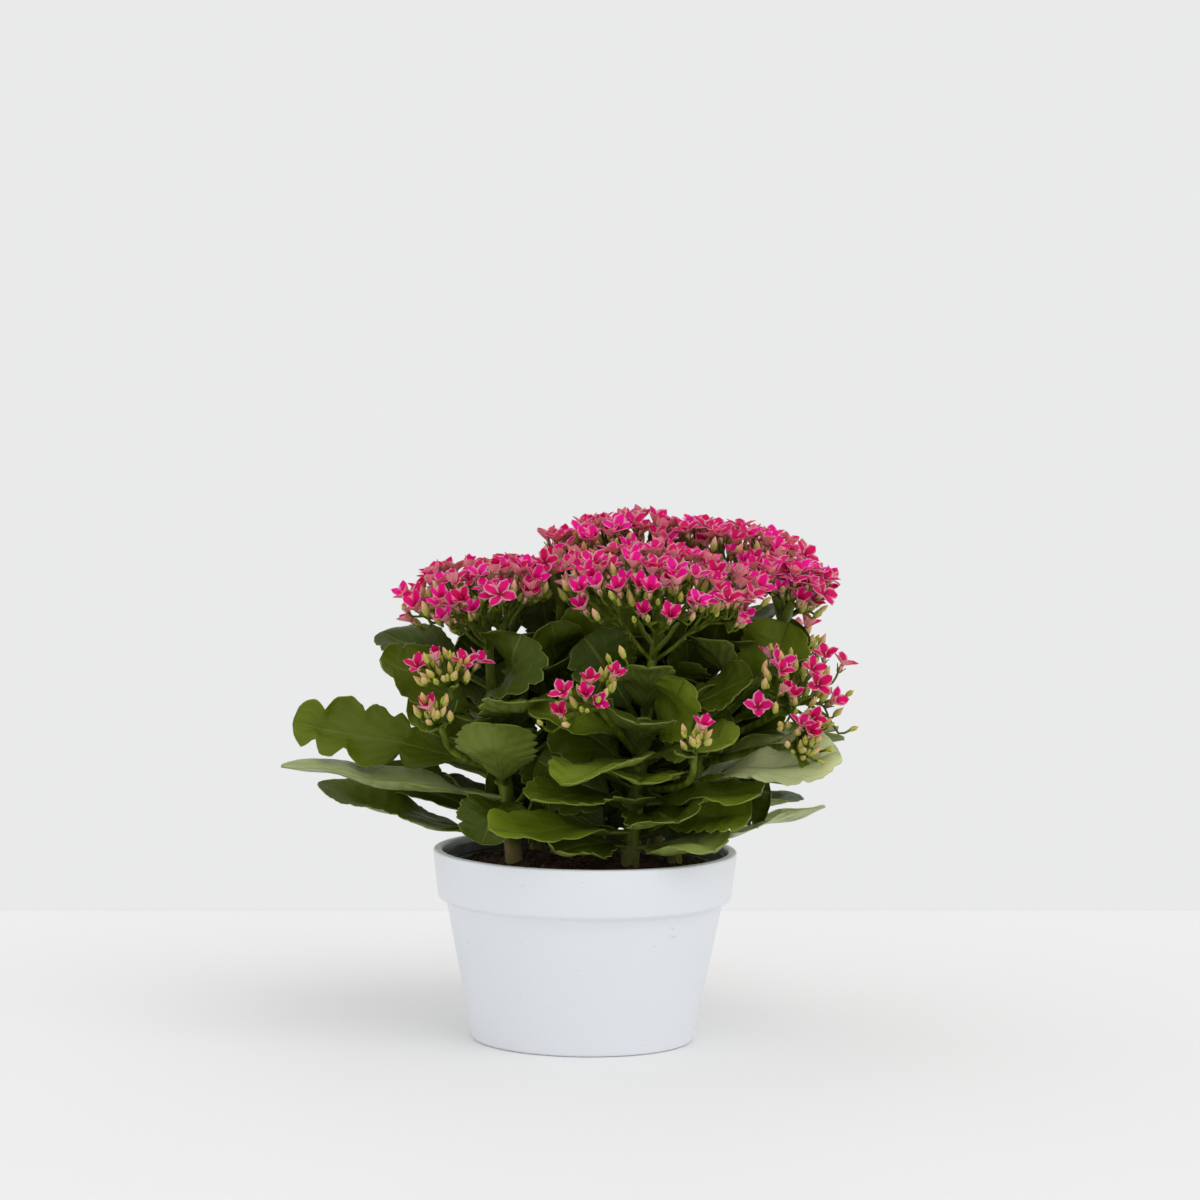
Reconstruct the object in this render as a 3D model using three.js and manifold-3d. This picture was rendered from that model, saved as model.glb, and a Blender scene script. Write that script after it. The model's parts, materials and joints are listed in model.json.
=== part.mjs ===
// A flaming katy (Kalanchoe blossfeldiana) in its nursery pot, which stands in a white outer pot.
// Millimetres, +Z up, the origin under the middle of the outer pot, -Y towards the viewer.
// Leafy shoots stand in the soil. Each carries fleshy scalloped leaves and the green stalks of its
// flower heads, and each head of four-petalled florets and buds rests on the end of its stalk.
import * as THREE from "three";
import { mergeVertices } from "three/addons/utils/BufferGeometryUtils.js";
import Module from "manifold-3d";

const wasm = await Module();
wasm.setup();

// Outer pot
const POT_HEIGHT = 94;
const RIM_RADIUS = 75;
const LIP_WIDTH = 4.5;
const LIP_ROUND = 1.6;
const BAND_HEIGHT = 24.4;
const BAND_FOOT_RADIUS = 72.3;
const BODY_TOP_RADIUS = 68.3;
const BASE_RADIUS = 54.6;
const BASE_ROUND = 1.2;
const POT_WALL = 2;
const POT_FLOOR = 3;
const POT_SIDES = 36;

// Nursery pot inside it
const LINER_TOP = 91;
const LINER_BAND = 4.5;
const LINER_WALL = 1.2;
const LINER_RIM_RADIUS = 69.7;
const LINER_LEDGE_RADIUS = 65.2;
const LINER_BASE_RADIUS = 50.5;
const LINER_DRAFT = 0.4;
const DRAIN_RADIUS = 4;
const DRAIN_RING_RADIUS = 34;
const DRAINS = 4;
const DRAIN_SIDES = 6;

// Soil
const SOIL_EDGE = 86;
const SOIL_MOUND = 4;
const SOIL_LUMP = 1.1;
const SOIL_RINGS = 4;
const SOIL_SIDES = 24;
const SOIL_CLEAR = 1;
const HOLE_SIDES = 6;

// Gap between pieces that touch, and the heights between which a shoot stands straight in the soil
const GAP = 0.35;
const FOOT_Z = 64;
const COLLAR_Z = 95;

// Stalks
const STALK_SIDES = 5;
const STALK_STEPS = 6;
const STALK_SPLICE = 4;
const PEDUNCLE_RADIUS = 2.1;
const PEDUNCLE_TIP_RADIUS = 1.7;
const PEDUNCLE_SIDES = 4;
const PEDUNCLE_STEPS = 4;

// Leaves
const LEAF_THICK = 2.3;
const LEAF_TIP_THINNING = 0.4;
const PETIOLE = 15;
const PETIOLE_LARGEST_SHARE = 0.4;
const PETIOLE_HALF_WIDTH = 2;
const LEAF_CUP = 0.2;
const LEAF_WAVE = 0.1;
const LEAF_WAVE_RATE = 7;
const SCALLOPS = 4;
const SCALLOP_DEPTH = 0.13;

// Flowers
const FLORET_RADIUS = 8.2;
const FLORET_NOTCH = 3.6;
const PETAL_LIFT = 1.6;
const NOTCH_DROP = 0.3;
const THROAT_DEPTH = 2.2;
const TUBE_RADIUS = 1.3;
const TUBE_TOP = 3.8;
const BUD_RADIUS = 2;
const BUD_TAPER = 4.4;
const GOLDEN_ANGLE = Math.PI * (3 - Math.sqrt(5));

// The core of a head: its share of the head's size, its depth under the seat, its gap to the stalk
const CORE_SHARE = 0.42;
const CORE_SINK = 3;
const CORE_CLEAR = 0.6;

// How a head's flowers spread: their way out is part the dome's and part straight up, and they
// stand out of the dome by a reach and a random share of a range, less in a large head.
const LARGE_HEAD = 20;
const DOME_PULL = 0.75;
const LIGHT_PULL = 0.35;
const LARGE_REACH = [3, 7];
const SMALL_REACH = [6, 4];

const UP = new THREE.Vector3(0, 0, 1);
const at = ([x, y, z]) => new THREE.Vector3(x, y, z);

// A repeatable number from 0 to 1 for the n-th draw of a seed.
function chance(seed, n) {
  const x = Math.sin(n * 12.9898 + seed * 78.233) * 43758.5453;
  return x - Math.floor(x);
}

// Solids from geometries, and back
function meshFrom(points, index) {
  const geometry = new THREE.BufferGeometry();
  const numbers = points.flatMap((p) => [p.x, p.y, p.z]);
  geometry.setAttribute("position", new THREE.Float32BufferAttribute(numbers, 3));
  geometry.setIndex(index);
  return geometry;
}

function solidOf(geometry) {
  geometry.deleteAttribute("normal");
  geometry.deleteAttribute("uv");
  const merged = mergeVertices(geometry, 1e-4);
  const corners = merged.index.array;
  const kept = [];
  for (let i = 0; i < corners.length; i += 3) {
    const [a, b, c] = [corners[i], corners[i + 1], corners[i + 2]];
    if (a !== b && b !== c && c !== a) kept.push(a, b, c);
  }
  const vertProperties = merged.attributes.position.array;
  const wrap = (triVerts) =>
    new wasm.Manifold(new wasm.Mesh({ numProp: 3, vertProperties, triVerts }));
  const solid = wrap(new Uint32Array(kept));
  // An inside-out surface has a negative volume: reversing every corner list turns it round.
  return solid.volume() > 0 ? solid : wrap(new Uint32Array(kept.reverse()));
}

function geometryOf(solid) {
  const { vertProperties, triVerts } = solid.getMesh();
  const geometry = new THREE.BufferGeometry();
  geometry.setAttribute("position", new THREE.BufferAttribute(vertProperties, 3));
  geometry.setIndex(new THREE.BufferAttribute(triVerts, 1));
  geometry.computeVertexNormals();
  return geometry;
}

// A closed solid through rings that all have the same number of points. Both ends are capped.
function loft(rings) {
  const index = [];
  const count = rings[0].length;
  for (let i = 0; i + 1 < rings.length; i++)
    for (let j = 0; j < count; j++) {
      const a = i * count + j;
      const b = i * count + ((j + 1) % count);
      const [c, d] = [a + count, b + count];
      // The diagonals of opposite sides match, so that both faces of a thin blade bend alike.
      if (j < count / 2) index.push(a, b, d, a, d, c);
      else index.push(a, b, c, b, d, c);
    }
  const last = (rings.length - 1) * count;
  for (let j = 1; j + 1 < count; j++) {
    index.push(0, j + 1, j);
    index.push(last, last + j, last + j + 1);
  }
  return solidOf(meshFrom(rings.flat(), index));
}

// A ring of points round a centre, in the plane of two unit vectors.
function ringAround(centre, across, along, radius, sides) {
  return Array.from({ length: sides }, (_, j) => {
    const turn = (2 * Math.PI * j) / sides;
    return centre
      .clone()
      .addScaledVector(across, radius * Math.cos(turn))
      .addScaledVector(along, radius * Math.sin(turn));
  });
}

// A round stalk along a smooth curve through points, tapering from one radius to another.
function stalk(points, from, to, sides, steps) {
  const curve = new THREE.CatmullRomCurve3(points);
  const { normals, binormals } = curve.computeFrenetFrames(steps, false);
  const rings = normals.map((normal, i) => {
    const radius = THREE.MathUtils.lerp(from, to, i / steps);
    return ringAround(curve.getPointAt(i / steps), normal, binormals[i], radius, sides);
  });
  return loft(rings);
}

// Pots and soil
function turned(profile, sides) {
  const points = profile.map(([r, z]) => new THREE.Vector2(r, z));
  return solidOf(new THREE.LatheGeometry(points, sides).rotateX(Math.PI / 2));
}

// An upright cylinder that stands on bottom, to cut a hole with.
function cutter(x, y, bottom, height, radius, sides) {
  const cylinder = new THREE.CylinderGeometry(radius, radius, height, sides);
  return solidOf(cylinder.rotateX(Math.PI / 2).translate(x, y, bottom + height / 2));
}

function outerPot() {
  const bandFoot = POT_HEIGHT - BAND_HEIGHT;
  const lipInner = RIM_RADIUS - LIP_WIDTH;
  const step = 0.6;
  return turned(
    [
      [0, 0],
      [BASE_RADIUS - BASE_ROUND, 0],
      [BASE_RADIUS, BASE_ROUND],
      [BODY_TOP_RADIUS, bandFoot - step],
      [BAND_FOOT_RADIUS, bandFoot + step],
      [RIM_RADIUS, POT_HEIGHT - LIP_ROUND],
      [RIM_RADIUS - LIP_ROUND, POT_HEIGHT],
      [lipInner + LIP_ROUND / 2, POT_HEIGHT],
      [lipInner, POT_HEIGHT - LIP_ROUND / 2],
      [lipInner - step, bandFoot + POT_WALL + step],
      [BODY_TOP_RADIUS - POT_WALL, bandFoot - step],
      [BASE_RADIUS - POT_WALL, POT_FLOOR],
      [0, POT_FLOOR],
    ],
    POT_SIDES,
  );
}

function nurseryPot() {
  const foot = POT_FLOOR + GAP;
  const ledge = LINER_TOP - LINER_BAND;
  const solid = turned(
    [
      [0, foot],
      [LINER_BASE_RADIUS, foot],
      [LINER_LEDGE_RADIUS, ledge - LINER_WALL],
      [LINER_RIM_RADIUS - LINER_DRAFT, ledge - LINER_WALL],
      [LINER_RIM_RADIUS, LINER_TOP],
      [LINER_RIM_RADIUS - LINER_WALL, LINER_TOP],
      [LINER_RIM_RADIUS - LINER_WALL - LINER_DRAFT, ledge],
      [LINER_LEDGE_RADIUS - LINER_WALL, ledge],
      [LINER_BASE_RADIUS - LINER_WALL, foot + LINER_WALL],
      [0, foot + LINER_WALL],
    ],
    POT_SIDES,
  );
  return Array.from({ length: DRAINS }, (_, i) => {
    const turn = (2 * Math.PI * i) / DRAINS;
    const [x, y] = [DRAIN_RING_RADIUS * Math.cos(turn), DRAIN_RING_RADIUS * Math.sin(turn)];
    return cutter(x, y, 0, 2 * foot, DRAIN_RADIUS, DRAIN_SIDES);
  }).reduce((pot, drain) => pot.subtract(drain), solid);
}

// The soil's radius at a height, just inside the nursery pot's wall.
function soilRadius(z) {
  const low = POT_FLOOR + GAP;
  const high = LINER_TOP - LINER_BAND - LINER_WALL;
  const wall = THREE.MathUtils.mapLinear(z, low, high, LINER_BASE_RADIUS, LINER_LEDGE_RADIUS);
  return wall - LINER_WALL - SOIL_CLEAR;
}

function soil() {
  const ring = (radius, z, seed) =>
    Array.from({ length: SOIL_SIDES }, (_, j) => {
      const turn = (2 * Math.PI * j) / SOIL_SIDES;
      const lump = seed ? SOIL_LUMP * (2 * chance(seed, j) - 1) : 0;
      return at([radius * Math.cos(turn), radius * Math.sin(turn), z + lump]);
    });
  const bottom = POT_FLOOR + LINER_WALL + 2 * GAP;
  const edge = soilRadius(SOIL_EDGE);
  const rings = [ring(soilRadius(bottom), bottom), ring(edge, SOIL_EDGE - SOIL_LUMP)];
  for (let k = 0; k < SOIL_RINGS; k++) {
    const share = 1 - (k + 0.4) / SOIL_RINGS;
    rings.push(ring(share * edge, SOIL_EDGE + SOIL_MOUND * (1 - share * share), k + 1));
  }
  return Object.values(shoots).reduce((ground, { foot, thick }) => {
    const radius = (thick + GAP) / Math.cos(Math.PI / HOLE_SIDES);
    const hole = cutter(foot[0], foot[1], FOOT_Z - GAP, COLLAR_Z - FOOT_Z, radius, HOLE_SIDES);
    return ground.subtract(hole);
  }, loft(rings));
}

// Leaves
// Half a blade's width at a share s of its length: widest past the middle, with a blunt tip.
function bladeHalfWidth(s, wide) {
  const tipBluntness = 0.002;
  const shape = Math.pow(s, 0.75) * Math.pow(1 + tipBluntness - s, 0.42);
  const widest = 0.466;
  return Math.max(PETIOLE_HALF_WIDTH, ((wide / 2) * shape) / widest);
}

// A fleshy leaf from its shoot to its tip. bow moves the middle of its midrib, face is the way its
// upper side looks, turn rolls it from base to tip, and cup lifts its scalloped margins.
function leaf(from, entry) {
  const { tip, wide, face = [0, 0, 1], bow = [0, 0, 8] } = entry;
  const { turn = 0, cup = LEAF_CUP, petiole = PETIOLE } = entry;
  const end = at(tip);
  const middle = from.clone().lerp(end, 0.5).add(at(bow));
  const rib = new THREE.QuadraticBezierCurve3(from, middle, end);
  const stem = Math.min(PETIOLE_LARGEST_SHARE, petiole / rib.getLength());
  const steps = 2 * SCALLOPS;
  const stations = [0];
  for (let k = 0; k <= steps; k++) stations.push(stem + ((1 - stem) * k) / steps);
  const rings = stations.map((t, i) => {
    const blade = i > 0;
    const s = blade ? (i - 1) / steps : 0;
    // The petiole keeps the frame of the blade's foot, so that its four sides are flat.
    const u = Math.max(t, stem);
    const along = rib.getTangent(u);
    const out = at(face).addScaledVector(along, -at(face).dot(along)).normalize();
    out.applyAxisAngle(along, THREE.MathUtils.degToRad(turn) * (u - 0.5));
    const side = along.clone().cross(out);
    const full = bladeHalfWidth(s, wide);
    const notched = i > 2 && i <= steps && i % 2 === 1;
    const half = notched ? full * (1 - SCALLOP_DEPTH) : full;
    const wave = LEAF_WAVE * Math.sin(LEAF_WAVE_RATE * s + wide);
    const lift = i > 1 ? full * (cup + wave) : 0;
    const thick = (LEAF_THICK / 2) * (1 - LEAF_TIP_THINNING * s);
    const centre = rib.getPoint(t);
    return [
      centre.clone().addScaledVector(side, half).addScaledVector(out, lift),
      centre.clone().addScaledVector(out, thick),
      centre.clone().addScaledVector(side, -half).addScaledVector(out, lift),
      centre.clone().addScaledVector(out, -thick),
    ];
  });
  return loft(rings);
}

// Shoots: foot is where each stands in the soil, path where its stalk goes from there to its head,
// and each leaf grows at a height on that stalk.
const shoots = {
  shoot_left: {
    foot: [-35, -9],
    path: [[-38, -12, 118], [-46, -10, 165]],
    head: "head_left",
    thick: 4.4,
    leaves: [
      { at: 134, tip: [-144, -12, 156], wide: 38, face: [0, -0.85, 0.5], bow: [0, 0, 2], petiole: 24 },
      { at: 120, tip: [-148, -34, 137], wide: 42, face: [0, -0.15, 1], bow: [0, 0, -3], petiole: 22 },
      { at: 101, tip: [-132, -4, 125], wide: 38, face: [0, -0.35, 0.9], bow: [0, 0, -8], petiole: 26 },
      { at: 109, tip: [-107, 32, 130], wide: 34, face: [0, -0.4, 0.9], bow: [0, 0, -4], petiole: 22 },
      { at: 126, tip: [-92, 24, 148], wide: 32, face: [0, -0.3, 1], bow: [0, 0, 2] },
      { at: 124, tip: [-51, -62, 163], wide: 44, face: [0, -0.8, 0.6], bow: [-2, -28, -24] },
      { at: 106, tip: [-57, -50, 106], wide: 40, face: [-0.3, -0.6, 0.7], bow: [0, -4, 12] },
      { at: 174, tip: [-103, 26, 197], wide: 34, face: [0, -0.4, 0.9], bow: [0, 0, 2] },
      { at: 158, tip: [-101, -26, 189], wide: 42, face: [0.1, -0.55, 0.8], bow: [0, 0, 0] },
      { at: 144, tip: [-88, -22, 164], wide: 32, face: [0.3, -0.7, 0.6], bow: [0, 0, 8] },
      { at: 166, tip: [-32, -45, 204], wide: 46, face: [0, -0.8, 0.6], bow: [0, -16, -8] },
      { at: 149, tip: [-28, -68, 174], wide: 38, face: [-0.1, 0, 1], bow: [-4, -2, 2] },
    ],
  },
  shoot_middle: {
    foot: [-14, 14],
    path: [[-14, 12, 130], [-14, 8, 175]],
    head: "head_middle",
    thick: 3.4,
    leaves: [
      { at: 152, tip: [9, -6, 222], wide: 44, face: [0.1, -1, 0.15], bow: [8, -6, -4], cup: 0.1 },
      { at: 172, tip: [-25, 26, 220], wide: 32, face: [0.3, -0.9, 0.3], bow: [0, 4, 4] },
      { at: 174, tip: [-18, -24, 208], wide: 32, face: [0.1, -0.8, 0.6], bow: [0, -4, -4] },
      { at: 116, tip: [-18, -24, 150], wide: 40, face: [0.2, -0.9, 0.4], bow: [0, -2, -4] },
      { at: 100, tip: [-26, -22, 120], wide: 38, face: [0.2, -0.9, 0.3], bow: [0, -2, -2] },
      { at: 146, tip: [-52, 22, 176], wide: 38, face: [-0.3, -0.5, 0.8], bow: [0, 0, 4] },
    ],
  },
  shoot_front: {
    foot: [22, -22],
    path: [[24, -24, 120], [29, -26, 165]],
    head: "head_front",
    thick: 4.6,
    leaves: [
      { at: 106, tip: [-46, -79, 112], wide: 38, face: [0, -0.35, 0.9], turn: -60, bow: [0, -10, 0] },
      { at: 99, tip: [-14, -66, 102], wide: 36, face: [0, -0.5, 0.8], bow: [0, 0, 4] },
      { at: 140, tip: [-12, -88, 142], wide: 50, face: [-0.35, -0.3, 0.9], bow: [16, -10, 10] },
      { at: 122, tip: [-26, -84, 129], wide: 40, face: [0, -0.3, 0.95], bow: [6, -8, 3] },
      { at: 98, tip: [62, -66, 103], wide: 44, face: [0, -0.3, 0.95], bow: [0, 0, 2] },
      { at: 144, tip: [74, -66, 160], wide: 36, face: [0, -0.5, 0.85], bow: [0, 0, 2] },
      { at: 158, tip: [82, -46, 186], wide: 38, face: [-0.2, -0.7, 0.7], bow: [0, 0, -2] },
      { at: 152, tip: [46, -56, 185], wide: 42, face: [-0.3, -0.8, 0.5], bow: [4, -10, -8] },
      { at: 150, tip: [24, -86, 166], wide: 38, face: [0.1, -0.3, 0.95], bow: [0, 0, 6] },
      { at: 112, tip: [44, -78, 118], wide: 42, face: [0, -0.5, 0.8], bow: [0, 0, 5] },
      { at: 120, tip: [84, -58, 130], wide: 40, face: [0, -0.3, 0.95], bow: [0, 0, 0] },
      { at: 113, tip: [80, -44, 117], wide: 38, face: [0, -0.6, 0.8], bow: [0, -2, 2] },
      { at: 102, tip: [64, -30, 120], wide: 42, face: [0, -0.95, 0.3], bow: [0, -2, -2] },
      { at: 103, tip: [-18, -34, 122], wide: 36, face: [0, -0.95, 0.3], bow: [0, -2, -6] },
      { at: 132, tip: [26, -74, 136], wide: 44, face: [0.1, -0.6, 0.8], bow: [0, -4, 6] },
      { at: 116, tip: [-24, -40, 142], wide: 42, face: [0.1, -0.9, 0.4], bow: [0, -4, 0] },
      { at: 134, tip: [-16, -42, 170], wide: 42, face: [0.1, -0.9, 0.4], bow: [0, -4, 0] },
      { at: 134, tip: [70, -34, 162], wide: 42, face: [0, -0.9, 0.4], bow: [0, -4, -4] },
      { at: 154, tip: [-2, -34, 202], wide: 38, face: [0.1, -0.9, 0.4], bow: [0, -4, 4] },
    ],
  },
  shoot_right: {
    foot: [44, 0],
    path: [[50, 0, 122], [66, 2, 160], [84, 3, 188]],
    head: "head_right",
    thick: 4,
    leaves: [
      { at: 129, tip: [122, -38, 148], wide: 48, face: [0, -0.5, 0.85], bow: [0, -4, 0] },
      { at: 143, tip: [127, 4, 155], wide: 36, face: [0, -0.1, 1], bow: [0, 0, 2] },
      { at: 112, tip: [91, -6, 124], wide: 40, face: [-0.2, -0.75, 0.6], bow: [0, 0, 2] },
      { at: 99, tip: [117, -16, 119], wide: 30, face: [-0.1, 0, 1], bow: [0, 0, -6] },
      { at: 120, tip: [97, 26, 127], wide: 34, face: [0, -0.1, 1], bow: [0, 0, 2] },
      { at: 160, tip: [98, -4, 208], wide: 42, face: [-0.35, -0.85, 0.45], bow: [6, -6, -6] },
      { at: 152, tip: [108, -2, 178], wide: 36, face: [0, -0.5, 0.9], bow: [0, 0, 2] },
    ],
  },
  shoot_back_right: {
    foot: [34, 28],
    path: [[44, 32, 130], [60, 35, 180]],
    head: "head_back_right",
    thick: 4,
    leaves: [
      { at: 100, tip: [108, 56, 114], wide: 40, bow: [0, 0, 6] },
      { at: 112, tip: [84, 98, 128], wide: 42, bow: [0, 0, 8] },
      { at: 126, tip: [126, 48, 150], wide: 40, face: [0.1, 0.2, 1] },
      { at: 140, tip: [98, 88, 162], wide: 40, face: [0.2, 0.4, 0.9] },
      { at: 162, tip: [108, 32, 202], wide: 34, face: [-0.2, -0.7, 0.7], bow: [4, 0, -4] },
      { at: 168, tip: [86, 72, 198], wide: 34, face: [0.3, 0.6, 0.7] },
      { at: 150, tip: [40, 6, 186], wide: 38, face: [-0.1, -0.9, 0.4], bow: [0, -4, 0] },
    ],
  },
  shoot_back: {
    foot: [6, 46],
    path: [[10, 52, 130], [20, 68, 170]],
    head: "head_back",
    thick: 4,
    leaves: [
      { at: 100, tip: [-10, 118, 112], wide: 42, bow: [0, 0, 8] },
      { at: 108, tip: [44, 112, 118], wide: 40, bow: [0, 0, 8] },
      { at: 122, tip: [14, 128, 142], wide: 44, face: [0, 0.3, 1] },
      { at: 136, tip: [62, 110, 154], wide: 38, face: [0.2, 0.3, 1] },
      { at: 146, tip: [-18, 114, 168], wide: 40, face: [-0.1, 0.5, 0.9] },
      { at: 162, tip: [58, 122, 184], wide: 34, face: [0.1, 0.6, 0.8] },
    ],
  },
  shoot_back_left: {
    foot: [-24, 34],
    path: [[-28, 38, 130], [-36, 44, 170]],
    head: "head_back_left",
    thick: 4,
    leaves: [
      { at: 100, tip: [-96, 62, 114], wide: 40, bow: [0, 0, 6] },
      { at: 112, tip: [-50, 108, 124], wide: 42, bow: [0, 0, 8] },
      { at: 124, tip: [-118, 50, 144], wide: 42, face: [-0.1, 0.2, 1] },
      { at: 138, tip: [-74, 92, 156], wide: 42, face: [-0.2, 0.4, 0.9] },
      { at: 152, tip: [-102, 60, 176], wide: 38, face: [-0.3, 0.3, 0.9] },
      { at: 166, tip: [-62, 88, 194], wide: 34, face: [-0.2, 0.6, 0.8] },
      { at: 158, tip: [-64, 20, 196], wide: 34, face: [-0.2, -0.7, 0.7], bow: [0, 0, -4] },
    ],
  },
  shoot_inner: {
    foot: [4, 16],
    path: [[6, 20, 140], [14, 28, 190]],
    head: "head_inner",
    thick: 3.6,
    leaves: [
      { at: 176, tip: [-8, 54, 216], wide: 34, face: [-0.3, 0.8, 0.5], bow: [0, 0, -2] },
      { at: 180, tip: [44, 4, 214], wide: 32, face: [0.3, -0.8, 0.5], bow: [0, 0, -2] },
      { at: 150, tip: [14, -20, 186], wide: 40, face: [0.1, -0.9, 0.4], bow: [0, -4, 0] },
      { at: 128, tip: [34, 2, 162], wide: 40, face: [-0.1, -0.9, 0.4], bow: [0, -4, 0] },
      { at: 108, tip: [20, -6, 140], wide: 40, face: [0.1, -0.9, 0.3], bow: [0, -4, 0] },
    ],
  },
};

// Flower heads: seat is the middle of the dome's foot, spread its two half widths, rise its height,
// lean the way it looks, along its long way, and fork the height where its stalk leaves the shoot.
const heads = {
  head_left: {
    shoot: "shoot_left", seat: [-50, -8, 206], spread: [33, 28], rise: 22,
    lean: [-0.22, -0.1, 1], florets: 17, buds: 6,
  },
  head_middle: {
    shoot: "shoot_middle", seat: [-14, 0, 229], spread: [10, 9], rise: 7,
    lean: [0, -0.1, 1], florets: 4, buds: 3,
  },
  head_front: {
    shoot: "shoot_front", seat: [33, -26, 208], spread: [45, 33], rise: 27,
    lean: [0, -0.18, 1], florets: 28, buds: 7,
  },
  head_inner: {
    shoot: "shoot_inner", seat: [15, 34, 236], spread: [28, 25], rise: 15,
    lean: [-0.1, 0, 1], florets: 13, buds: 4,
  },
  head_back_right: {
    shoot: "shoot_back_right", seat: [74, 38, 228], spread: [29, 27], rise: 16,
    lean: [0.15, 0.1, 1], florets: 13, buds: 4,
  },
  head_right: {
    shoot: "shoot_right", seat: [98, 3, 217], spread: [17, 17], rise: 12,
    lean: [0.25, -0.1, 1], florets: 6, buds: 5,
  },
  head_back: {
    shoot: "shoot_back", seat: [29, 84, 206], spread: [32, 22], rise: 15,
    lean: [0, 0.3, 1], florets: 12, buds: 4,
  },
  head_back_left: {
    shoot: "shoot_back_left", seat: [-43, 48, 204], spread: [27, 22], rise: 15,
    lean: [-0.25, 0.25, 1], florets: 10, buds: 4,
  },
  spray_left_high: {
    shoot: "shoot_left", fork: 150, seat: [-67, -50, 184], spread: [13, 9], rise: 6,
    lean: [-0.2, -0.7, 0.8], florets: 3, buds: 8,
  },
  spray_left_low: {
    shoot: "shoot_left", fork: 132, seat: [-72, -52, 164], spread: [7, 6], rise: 4,
    lean: [-0.3, -0.7, 0.8], florets: 1, buds: 5,
  },
  spray_front: {
    shoot: "shoot_front", fork: 142, seat: [3, -78, 174], spread: [21, 8], rise: 5,
    lean: [-0.4, -0.75, 0.6], along: [0.78, 0, 0.62], florets: 6, buds: 8,
  },
  spray_front_low: {
    shoot: "shoot_front", fork: 126, seat: [52, -79, 156], spread: [6, 5], rise: 4,
    lean: [0.1, -0.7, 0.8], florets: 1, buds: 6,
  },
  spray_right: {
    shoot: "shoot_right", fork: 146, seat: [104, -34, 172], spread: [17, 11], rise: 7,
    lean: [0.45, -0.75, 0.55], along: [0.8, 0, 0.5], florets: 9, buds: 8,
  },
  spray_right_low: {
    shoot: "shoot_right", fork: 137, seat: [103, -50, 152], spread: [7, 6], rise: 4,
    lean: [0.4, -0.7, 0.1], florets: 2, buds: 4,
  },
  spray_back: {
    shoot: "shoot_back", fork: 152, seat: [-4, 108, 190], spread: [11, 8], rise: 5,
    lean: [-0.2, 0.7, 0.8], florets: 3, buds: 4,
  },
  spray_back_right: {
    shoot: "shoot_back_right", fork: 154, seat: [106, 62, 186], spread: [11, 8], rise: 5,
    lean: [0.6, 0.5, 0.8], florets: 3, buds: 4,
  },
  spray_back_left: {
    shoot: "shoot_back_left", fork: 146, seat: [-90, 80, 178], spread: [11, 8], rise: 5,
    lean: [-0.5, 0.6, 0.8], florets: 3, buds: 4,
  },
};

// The frame of a head: its long way, the way across, and the way up its dome, from its seat.
function headFrame({ seat, lean, along = [1, 0, 0] }) {
  const out = at(lean).normalize();
  const long = at(along);
  long.addScaledVector(out, -long.dot(out)).normalize();
  return new THREE.Matrix4().makeBasis(long, out.clone().cross(long), out).setPosition(at(seat));
}

// The packed stalks at the heart of a head: a low dome that the florets stand out of.
function core(head) {
  const [a, b] = head.spread;
  const sides = a > LARGE_HEAD ? 8 : 6;
  const dome = new THREE.SphereGeometry(1, sides, sides / 2).rotateX(Math.PI / 2);
  const place = dome.getAttribute("position");
  for (let i = 0; i < place.count; i++) {
    const height = place.getZ(i) > 0 ? head.rise * CORE_SHARE : CORE_SINK;
    place.setXYZ(i, place.getX(i) * a * CORE_SHARE, place.getY(i) * b * CORE_SHARE, place.getZ(i) * height);
  }
  return solidOf(dome.applyMatrix4(headFrame(head)));
}

// The k-th of count places on a head's dome, spread as seeds are in a sunflower, with the way out
// of the dome there and the root in the core.
function placeOnDome(head, k, count, seed) {
  const [a, b] = head.spread;
  const [edge, flatness, rootShare, jitter] = [0.98, 0.92, 0.06, 0.3];
  const share = edge * Math.sqrt((k + 0.5) / count);
  const turn = k * GOLDEN_ANGLE + seed + jitter * chance(seed, k);
  const [x, y] = [share * Math.cos(turn), share * Math.sin(turn)];
  const z = Math.sqrt(1 - flatness * share * share);
  const frame = headFrame(head);
  return {
    spot: at([x * a, y * b, z * head.rise]).applyMatrix4(frame),
    outward: at([x / a, y / b, z / head.rise]).normalize().transformDirection(frame),
    root: at([rootShare * x * a, rootShare * y * b, 0]).applyMatrix4(frame),
  };
}

// A function that puts a point given beside a flower's own axis into the plant's frame.
function flowerFrame(spot, axis) {
  const turned = new THREE.Quaternion().setFromUnitVectors(UP, axis);
  return (radius, turn, z) =>
    at([radius * Math.cos(turn), radius * Math.sin(turn), z]).applyQuaternion(turned).add(spot);
}

// A floret: four petals round a sunken throat, on a three-sided tube that narrows to its root.
function floret(spot, axis, spin, size, root) {
  const place = flowerFrame(spot, axis);
  const points = [place(0, 0, -THROAT_DEPTH)];
  for (let j = 0; j < 8; j++) {
    const petal = j % 2 === 0;
    const radius = size * (petal ? FLORET_RADIUS : FLORET_NOTCH);
    points.push(place(radius, spin + (Math.PI * j) / 4, petal ? PETAL_LIFT : -NOTCH_DROP));
  }
  for (let j = 0; j < 3; j++) points.push(place(TUBE_RADIUS, spin + (2 * Math.PI * j) / 3, -TUBE_TOP));
  points.push(root);
  const rim = (j) => 1 + (j % 8);
  const corner = (j) => 9 + (Math.round((j * 3) / 8) % 3);
  const index = [];
  for (let j = 0; j < 8; j++) {
    index.push(0, rim(j), rim(j + 1), rim(j + 1), rim(j), corner(j));
    if (corner(j) !== corner(j + 1)) index.push(rim(j + 1), corner(j), corner(j + 1));
  }
  for (let j = 0; j < 3; j++) index.push(9 + ((j + 1) % 3), 9 + j, 12);
  return solidOf(meshFrom(points, index));
}

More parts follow.
